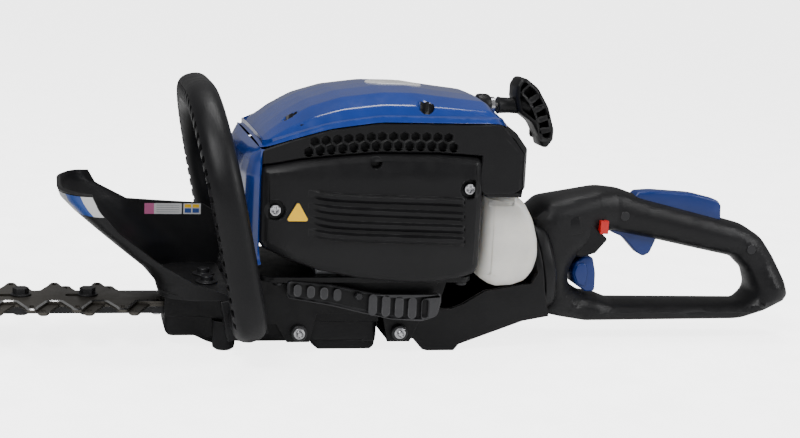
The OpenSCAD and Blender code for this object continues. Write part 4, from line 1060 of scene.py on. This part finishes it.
def make_screws():
    """Cross-headed cover screws in dark wells, the front screw and the bolts of the mounts."""
    bm = bmesh.new()
    for side in (-1, 1):
        for x, z in SCREW_PLACES:
            cross_head(bm, x, side * (SIDE_REACH - 2.4), z, side, 4.3)
            pillow(bm, ring_points(x, z, 8.0, 32), [(0, side * (SIDE_REACH - 8)),
                                                    (0.3, side * (SIDE_REACH - 6.4))], index=1)
    finish_piece("cover_screw_heads", bm, "frame", ["cover_screws"],
                 [look("bright_steel"), look("black_plastic")],
                 smooth=35)
    bm = bmesh.new()
    lathe(bm, [(0, -6), (5.2, -6), (5.2, 1.6), (4.4, 2.6), (3.0, 3.0), (2.2, 2.0), (0, 1.9)],
          (-92.6, -8, 128), (-1, 0, 0), 32)
    finish_piece("front_screw", bm, "frame", [], [look("dark_steel")], smooth=35)
    low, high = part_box("av_mounts")
    places = [(low[0] / MM + 8, 17), (high[0] / MM - 8, 17)]
    bm = bmesh.new()
    for x, z in places:
        for side in (-1, 1):
            face = side * high[1] / MM
            lathe(bm, [(0, -34), (6.4, -34), (6.4, -1.8), (5.8, -1.2), (4.6, -1.2), (0, -1.4)],
                  (x, face, z), (0, side, 0), 36)
            lathe(bm, [(0, -2), (4.4, -2), (4.4, -0.9), (3.9, -0.6), (3.0, -0.6), (2.9, 2.4), (2.4, 2.9),
                       (1.4, 1.8), (0, 1.7)],
                  (x, face, z), (0, side, 0), 30, index=1)
    finish_piece("mount_bolts", bm, "frame", ["av_mounts"], [look("dark_steel"), look("bright_steel")],
                 smooth=35)


def make_sign():
    """A plain yellow triangle with a dark edge."""
    bm = bmesh.new()
    centre = (-51.8, 118.4)
    y = -SIDE_REACH
    for size, step, index in ((10.8, 0.0, 0), (10.0, 0.15, 1)):
        outline = arc_corners([(centre[0] + size * math.cos(a), centre[1] + size * math.sin(a))
                               for a in (math.pi / 2, math.pi * 7 / 6, math.pi * 11 / 6)], 1.4, 4)
        pillow(bm, outline, [(0, y + 1.4), (0, y - 0.1 - step)], index=index)
    finish_piece("yellow_sign", bm, "frame", [], [look("label_ink"), look("sticker_yellow")],
                 smooth=30)


class TRIMMER_OT_front_handle(bpy.types.Operator):
    """Makes the loop handle with its slots"""
    bl_idname = "trimmer.front_handle"
    bl_label = "Front handle"

    def execute(self, context):
        make_loop()
        return {"FINISHED"}


class TRIMMER_OT_guard(bpy.types.Operator):
    """Makes the blade guard and its plain stickers"""
    bl_idname = "trimmer.guard"
    bl_label = "Blade guard"

    def execute(self, context):
        make_guard()
        return {"FINISHED"}


class TRIMMER_OT_starter(bpy.types.Operator):
    """Makes the starter grip, its bush, its eyelet and its rope"""
    bl_idname = "trimmer.starter"
    bl_label = "Starter handle"

    def execute(self, context):
        make_starter()
        return {"FINISHED"}


class TRIMMER_OT_fasteners(bpy.types.Operator):
    """Makes the visible screws, the mount bolts and the plain yellow sign"""
    bl_idname = "trimmer.fasteners"
    bl_label = "Screws and sign"

    def execute(self, context):
        make_screws()
        make_sign()
        return {"FINISHED"}


# ---------- Blades ----------

TOOTH_PITCH, TOOTH_COUNT, TIP_Y, SPINE_HALF = 35.0, 17, 39.0, 17.0
# first tooth of the near row and of the far row, which stands half a pitch ahead
NEAR_START, FAR_START = -175.0, -192.5
# how far each blade rests from the middle of its stroke
BLADE_REST = 4.5


def blade_outline(shift, rear):
    """One blade from above: a spine with slim rounded teeth, the far row half a pitch ahead."""
    front = NEAR_START - (TOOTH_COUNT - 1) * TOOTH_PITCH - 55
    points, radii = [(rear - shift, -SPINE_HALF)], [6]
    for side, start, order in ((-1, NEAR_START, range(TOOTH_COUNT)),
                               (1, FAR_START, range(TOOTH_COUNT - 1, -1, -1))):
        for i in order:
            x = start - i * TOOTH_PITCH
            tooth = [(x + 12.5, SPINE_HALF, 3), (x + 5, TIP_Y - 2, 4), (x + 3.6, TIP_Y + 5, 3.2),
                     (x - 3.6, TIP_Y + 5, 3.2),
                     (x - 5, TIP_Y - 2, 4), (x - 12.5, SPINE_HALF, 3)]
            for u, v, r in (tooth if side < 0 else tooth[::-1]):
                points.append((u, side * v))
                radii.append(r)
        if side < 0:
            points += [(front, -SPINE_HALF), (front, SPINE_HALF)]
            radii += [8, 8]
    points.append((rear - shift, SPINE_HALF))
    radii.append(6)
    return [(x + shift, y) for x, y in arc_corners(points, radii, 3)]


def make_blade(name, node, shift, upper):
    """One blade with ground bevels, lightening holes and slots; shift is its place at rest."""
    low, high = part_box(node)[0][2] / MM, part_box(node)[1][2] / MM
    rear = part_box(node)[1][0] / MM
    holes = []
    for i in range(TOOTH_COUNT):
        for side, start in ((-1, NEAR_START), (1, FAR_START)):
            centre = (start - i * TOOTH_PITCH + shift, side * (TIP_Y - 2))
            holes.append(slot_outline(*centre, 8.6, 3.4, math.pi / 2, 4))
    for i in range(11):
        holes.append(slot_outline(-206 - 1.5 * TOOTH_PITCH * i + shift, 0, 26.6, 8.6))
    ground = [(0, low), (0, high - 1.1), (1.5, high - 0.05), (1.7, high)]
    levels = ground if upper else [(w, low + high - z) for w, z in ground[::-1]]
    bm = bmesh.new()
    edge = anticlockwise(blade_outline(shift, rear))
    loops = [[(u, v, z) for u, v in (inset(edge, w) if w else edge)] for w, z in levels]
    rings = [start_ring(bm, loops[0])]
    for i, places in enumerate(loops[1:]):
        # the second step is the ground bevel
        rings.append(extrude_ring(bm, rings[-1], places, int(i == 1)))
    walls = [skin(bm, [[(u, v, z) for u, v in anticlockwise(hole)] for z in (low, high)]) for hole in holes]
    cap(bm, [rings[0]] + [wall[0] for wall in walls])
    cap(bm, [rings[-1]] + [wall[-1] for wall in walls])
    finish_piece(name, bm, node, [node], [look("blade_steel"), look("ground_edge")],
                 smooth=30)


# ---------- Tank, front cover and gear case ----------

TANK_OUTLINE = [(99.3, 130.5), (99.3, 63.5), (108, 58), (114, 56), (127, 56.8), (138, 60.5), (144, 69),
                (147.2, 80.5),
                (146, 94), (141.5, 110), (134, 123), (125.5, 130.5)]
TANK_RADII = [3, 6, 6, 10, 16, 14, 14, 30, 30, 30, 14, 4]


def make_tank():
    """Blow-moulded tank with round edges, a filler neck and a moulding seam down the middle."""
    half = -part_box("fuel_tank")[0][1] / MM
    bm = bmesh.new()
    outline = arc_corners(TANK_OUTLINE, TANK_RADII, 5)
    levels = round_levels(-half, half, 9.0, 6)
    middle = [(0.0, -1.2), (-0.5, -0.9), (-0.5, 0.9), (0.0, 1.2)]
    pillow(bm, outline, levels[:7] + middle + levels[7:])
    lathe(bm, [(0, -4), (13.6, -4), (12.6, -1), (12.6, 7.4), (12.0, 8), (0, 8)], (122, half, 98), (0, 1, 0),
          40)
    finish_piece("tank_shell", bm, "frame", ["fuel_tank"], [look("tank_plastic")],
                 smooth=45)


FRONT_PLAN = [(0, 1.0), (44, 0.93), (62, 0.74), (70, 0.5), (75, 0.2), (76, 0.0)]
FRONT_SIDE = [(78, 0.0), (82, 0.55), (90, 0.97), (112, 1.0), (146, 0.98), (158, 0.72), (164, 0.4),
              (167, 0.0)]


def make_front_cover():
    """Blue panel with bevelled edges and a recess round its screw."""
    depth = -80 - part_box("front_cover")[0][0] / MM
    rows, columns = 60, 96
    bm = bmesh.new()

    def place(i, j):
        y, z = -76 + 152 * i / columns, 78 + 89 * j / rows
        x = -80 - depth * smoothed(FRONT_PLAN, abs(y), 1.2) * smoothed(FRONT_SIDE, z, 1.2)
        x += 2.6 * ease((8.6 - math.hypot(y + 8, z - 128)) / 1.6)
        return x, y, z

    sheet(bm, columns, rows, place)
    thicken(bm, 2.4)
    finish_piece("front_panel", bm, "frame", ["front_cover"], [look("blue_plastic")],
                 smooth=26)


BAND_OUTLINE = [(-54, 61.5), (-20, 59), (12, 52), (37, 48.5), (60, 50.5), (68.5, 52), (69, 45), (66.5, 33),
                (54, 29),
                (30, 30.5), (5, 36), (-20, 42), (-54, 48)]


def make_heat_band():
    """Perforated steel band under the engine: five tall slots, four short ones and a screw."""
    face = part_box("heat_guard")[0][1] / MM
    bm = bmesh.new()
    outline = arc_corners(BAND_OUTLINE, [3, 20, 20, 20, 10, 3, 6, 6, 8, 20, 20, 20, 3], 4)
    slots = [slot_outline(14 + 10.6 * k, 42.5 - 0.9 * k, 15.5, 5.0, math.pi / 2) for k in range(5)]
    slots += [slot_outline(-46 + 10.5 * k, 54.2 - 1.2 * k, 8.0, 4.4, math.pi / 2) for k in range(4)]
    pillow(bm, outline, [(0, face + 1.4), (0, face - 1.6), (0.9, face - 2.4)], holes=slots)
    # dark plate behind the slots: painted shade standing in for the deep cavity behind them
    pillow(bm, inset(anticlockwise(outline), 2.5), [(0, face + 1.3), (0, face + 0.9)], index=2)
    lathe(bm, [(0, -1), (3.4, -1), (3.4, 1.0), (2.6, 1.8), (0, 1.9)], (2.5, face - 2.3, 49.5), (0, -1, 0),
          6, index=1)
    finish_piece("heat_band", bm, "frame", ["heat_guard"],
                 [look("band_steel"), look("dark_steel"), look("black_plastic")],
                        smooth=30)


CASE_PLAN = [(-146, -24), (-118, -24), (-90, -42), (23, -42), (23, 42), (-90, 42), (-118, 24), (-146, 24)]


def make_gear_case():
    """Lower half of the gear case: rounded plan, tapering floor, two feet and the clutch bulge."""
    bm = bmesh.new()
    plan = arc_corners(CASE_PLAN, [8, 16, 18, 8, 8, 18, 16, 8], 6)
    pillow(bm, plan, [(7, 7), (3.2, 8), (1.2, 10.4), (0.3, 14), (0, 24.4)], plane="xy")
    for side in (-1, 1):
        lathe(bm, [(0, 0), (6.4, 0), (8.6, 1.6), (9.2, 5), (9.8, 24)], (-99.5, side * 31, 0), (0, 0, 1), 36)
        lathe(bm, [(0, 6.6), (4, 6.6), (6.4, 8.2), (7, 24)], (-80, side * 35, 0), (0, 0, 1), 28)
        lathe(bm, [(0, 6.6), (4, 6.6), (6.4, 8.2), (7, 24)], (16, side * 35, 0), (0, 0, 1), 28)
    bulge = arc_corners([(-37, 22), (-29.5, 4.5), (-24, 0), (18.4, 0), (21.5, 3), (23, 12), (23, 22)],
                        [2, 8, 3, 3, 3, 4, 2], 4)
    pillow(bm, bulge, round_levels(-38, 38, 3.5, 4))
    nose = arc_corners([(-145, 24), (-139, 15), (-134, 10.2), (-124, 8.4), (-111.8, 2.5), (-104, 0),
                        (-96, 0), (-88, 7), (-88, 24)],
                       [3, 6, 6, 6, 6, 4, 4, 3, 2], 4)
    pillow(bm, nose, round_levels(-22, 22, 4.0, 4))
    finish_piece("case_lower", bm, "frame", ["gear_case"], [look("black_casting")],
                 smooth=38)


class TRIMMER_OT_blades(bpy.types.Operator):
    """Makes the two toothed blades with ground edges"""
    bl_idname = "trimmer.blades"
    bl_label = "Blades"

    def execute(self, context):
        make_blade("upper_cutter", "upper_blade", -BLADE_REST, True)
        make_blade("lower_cutter", "lower_blade", BLADE_REST, False)
        return {"FINISHED"}


class TRIMMER_OT_body(bpy.types.Operator):
    """Makes the fuel tank, the blue front panel, the lower gear case and the heat band"""
    bl_idname = "trimmer.body"
    bl_label = "Tank, front panel, gear case and band"

    def execute(self, context):
        make_tank()
        make_front_cover()
        make_gear_case()
        make_heat_band()
        return {"FINISHED"}


# ---------- Stage ----------

def set_camera():
    """Places the main camera, aims it and rolls it round its own axis."""
    view = bpy.context.scene.trimmer_stage
    place, aim = Vector(view.camera_place), Vector(view.camera_aim)
    forward = (aim - place).normalized()
    level = forward.cross(Vector((0, 0, 1))).normalized()
    upright = level.cross(forward)
    roll = math.radians(view.camera_roll)
    right = level * math.cos(roll) + upright * math.sin(roll)
    above = upright * math.cos(roll) - level * math.sin(roll)
    data = bpy.data.cameras.new("main_view")
    data.sensor_width = 36.0
    data.lens = view.lens
    data.shift_x = view.shift
    data.clip_start = 0.01
    camera = bpy.data.objects.new("main_view", data)
    bpy.context.scene.collection.objects.link(camera)
    camera.matrix_world = Matrix.Translation(place) @ Matrix((right, above, -forward)).transposed().to_4x4()
    bpy.context.scene.camera = camera


def add_lamp(name, place, size, power):
    """A rectangular lamp aimed at the middle of the engine."""
    data = bpy.data.lights.new(name, "AREA")
    data.energy = power
    data.shape = "RECTANGLE"
    data.size, data.size_y = size
    lamp = bpy.data.objects.new(name, data)
    lamp.location = place
    lamp.rotation_euler = (Vector((0.0, 0.0, 0.1)) - Vector(place)).to_track_quat("-Z", "Y").to_euler()
    bpy.context.scene.collection.objects.link(lamp)


def floor_material():
    """Plain white paper: the camera sees it a little brighter than the lamps alone would make it."""
    made = look("floor")
    tree = made.node_tree
    path = tree.nodes.new("ShaderNodeLightPath")
    glow = tree.nodes.new("ShaderNodeEmission")
    glow.inputs["Color"].default_value = (1, 1, 1, 1)
    glow.inputs["Strength"].default_value = 3.6
    both = tree.nodes.new("ShaderNodeAddShader")
    seen = tree.nodes.new("ShaderNodeMixShader")
    shader, out = tree.nodes["Principled BSDF"], tree.nodes["Material Output"]
    tree.links.new(shader.outputs["BSDF"], both.inputs[0])
    tree.links.new(glow.outputs["Emission"], both.inputs[1])
    tree.links.new(path.outputs["Is Camera Ray"], seen.inputs["Fac"])
    tree.links.new(shader.outputs["BSDF"], seen.inputs[1])
    tree.links.new(both.outputs["Shader"], seen.inputs[2])
    tree.links.new(seen.outputs["Shader"], out.inputs["Surface"])
    return made


def set_stage():
    """Lays the floor a hair below the tool and hangs the three lamps."""
    bm = bmesh.new()
    reach = 30.0
    bmesh.ops.create_grid(bm, x_segments=2, y_segments=2, size=reach,
                          matrix=Matrix.Translation((0, 0, -0.0004)))
    mesh = bpy.data.meshes.new("studio_floor")
    bm.to_mesh(mesh)
    bm.free()
    mesh.shade_smooth()
    mesh.materials.append(floor_material())
    floor = bpy.data.objects.new("studio_floor", mesh)
    bpy.context.scene.collection.objects.link(floor)
    world = bpy.data.worlds.new("studio_air")
    bpy.context.scene.world = world
    world.use_nodes = True
    world.node_tree.nodes["Background"].inputs["Color"].default_value = (1, 1, 1, 1)
    world.node_tree.nodes["Background"].inputs["Strength"].default_value = 0.24
    lights = bpy.context.scene.trimmer_stage.light_power
    add_lamp("key", (-0.9, -1.4, 1.9), (0.9, 0.6), 40 * lights)
    add_lamp("top", (0.2, 0.3, 2.1), (1.2, 0.6), 22 * lights)
    add_lamp("side", (1.6, -0.9, 1.0), (0.5, 0.9), 16 * lights)


# ---------- Add-on ----------

def colour_choice(finish, name, description):
    return bpy.props.FloatVectorProperty(name=name, description=description, subtype="COLOR", size=3,
                                         min=0.0, max=1.0, default=LOOKS[finish]["color"])


def length_choice(name, description, default, low, high):
    return bpy.props.FloatProperty(name=name, description=description, unit="LENGTH", precision=5,
                                   default=default, min=low, max=high)


class ColourSettings(bpy.types.PropertyGroup):
    blue_plastic: colour_choice("blue_plastic", "Covers", "Colour of the top cover and the front panel")
    lever_plastic: colour_choice("lever_plastic", "Levers",
                                 "Colour of the trigger, lockout lever and turn latch")
    grip_plastic: colour_choice("grip_plastic", "Handles",
                                "Colour of the looped handle and the rear handle")
    tank_plastic: colour_choice("tank_plastic", "Tank", "Colour of the fuel tank")
    sticker_yellow: colour_choice("sticker_yellow", "Sign",
                                  "Colour of the yellow sign and the label's squares")
    rope_fibre: colour_choice("rope_fibre", "Rope", "Colour of the starter rope")


class SizeSettings(bpy.types.PropertyGroup):
    loop_thickness: length_choice("Loop thickness", "Thickness of the looped handle's tube", 0.0252, 0.018,
                                  0.028)
    rope_thickness: length_choice("Rope thickness", "Thickness of the starter rope", 0.0034, 0.002, 0.0045)
    rounding: length_choice("Rounding", "Round edge on castings and plastic parts", 0.0007, 0.0001, 0.001)
    fine_rounding: length_choice("Fine rounding", "Round edge on machined steel parts", 0.00035, 0.0001,
                                 0.0005)


class StageSettings(bpy.types.PropertyGroup):
    camera_place: bpy.props.FloatVectorProperty(
        name="Camera place", description="Where the camera stands", subtype="TRANSLATION",
        default=(-0.239, -1.195, 0.335))
    camera_aim: bpy.props.FloatVectorProperty(
        name="Camera aim", description="The point that the camera looks at", subtype="TRANSLATION",
        default=(-0.0524, 0.0, 0.0988))
    camera_roll: bpy.props.FloatProperty(
        name="Camera roll", description="Turn of the camera round its own axis, in degrees", default=2.0)
    lens: bpy.props.FloatProperty(
        name="Lens", description="Focal length in millimetres on a 36 mm sensor", default=68.76, min=10.0)
    shift: bpy.props.FloatProperty(
        name="Sideways shift", description="Lens shift as a share of the picture's width", default=0.15)
    light_power: bpy.props.FloatProperty(
        name="Light power", description="Factor on the power of all lamps", default=1.0, min=0.1, max=4.0)


# where each group of settings is kept on the scene
SETTINGS = {"trimmer_colours": ColourSettings, "trimmer_sizes": SizeSettings,
            "trimmer_stage": StageSettings}


NODE_LOOKS = {
    "dark_steel": ["handle_screws", "chassis_screws", "guide_bar", "blade_bolts", "guard_screws",
                   "muffler"],
    "bright_steel": ["case_screws", "cam_gear", "cam_bearings", "drum_bearings", "clutch_drum",
                     "crankshaft", "crank_bearings", "piston_pin",
                     "swivel_pin", "upper_yoke", "lower_yoke"],
    "casting": ["crankcase", "engine_cylinder", "piston", "con_rod", "flywheel", "carburettor"],
    "black_casting": ["gear_cover", "loop_clamps"],
    "black_plastic": ["chassis", "rear_arm", "plug_cap", "ignition_coil", "intake_stub", "starter_plate",
                      "fuel_cap"],
    "red_plastic": ["stop_switch", "choke_lever"],
    "tank_plastic": ["spark_plug"],
    "lining": ["clutch_shoes"],
    "bulb_rubber": ["primer_bulb"],
    "filter_foam": ["air_filter"],
    "pulley_plastic": ["starter_pulley"],
}


class TRIMMER_OT_frame_parts(bpy.types.Operator):
    """Gives every CAD node that keeps its own shape its rounded edges and its material"""
    bl_idname = "trimmer.frame_parts"
    bl_label = "Frame parts"

    def execute(self, context):
        fine, coarse = sizes().fine_rounding, sizes().rounding
        for name, nodes in NODE_LOOKS.items():
            for node in nodes:
                dress_node(node, name, (fine if name == "bright_steel" else coarse) / MM)
        return {"FINISHED"}


class TRIMMER_OT_stage(bpy.types.Operator):
    """Sets the camera, the pale floor and the soft lights"""
    bl_idname = "trimmer.stage"
    bl_label = "Stage"

    def execute(self, context):
        set_camera()
        set_stage()
        return {"FINISHED"}


STEPS = (TRIMMER_OT_covers, TRIMMER_OT_rear_handle, TRIMMER_OT_front_handle, TRIMMER_OT_guard,
         TRIMMER_OT_starter,
         TRIMMER_OT_blades, TRIMMER_OT_body, TRIMMER_OT_fasteners, TRIMMER_OT_frame_parts, TRIMMER_OT_stage)


class TRIMMER_PT_panel(bpy.types.Panel):
    bl_label = "Hedge trimmer"
    bl_idname = "TRIMMER_PT_panel"
    bl_space_type = "VIEW_3D"
    bl_region_type = "UI"
    bl_category = "Trimmer"

    def draw(self, context):
        for operator in STEPS:
            self.layout.operator(operator.bl_idname)
        for place, settings in SETTINGS.items():
            for name in settings.__annotations__:
                self.layout.prop(getattr(context.scene, place), name)


def register():
    for kind in (*SETTINGS.values(), *STEPS, TRIMMER_PT_panel):
        bpy.utils.register_class(kind)
    for place, settings in SETTINGS.items():
        setattr(bpy.types.Scene, place, bpy.props.PointerProperty(type=settings))


def unregister():
    for place in SETTINGS:
        delattr(bpy.types.Scene, place)
    for kind in reversed((*SETTINGS.values(), *STEPS, TRIMMER_PT_panel)):
        bpy.utils.unregister_class(kind)


def main():
    register()
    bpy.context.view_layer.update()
    for operator in STEPS:
        group, name = operator.bl_idname.split(".")
        getattr(getattr(bpy.ops, group), name)()


if __name__ == "__main__":
    main()
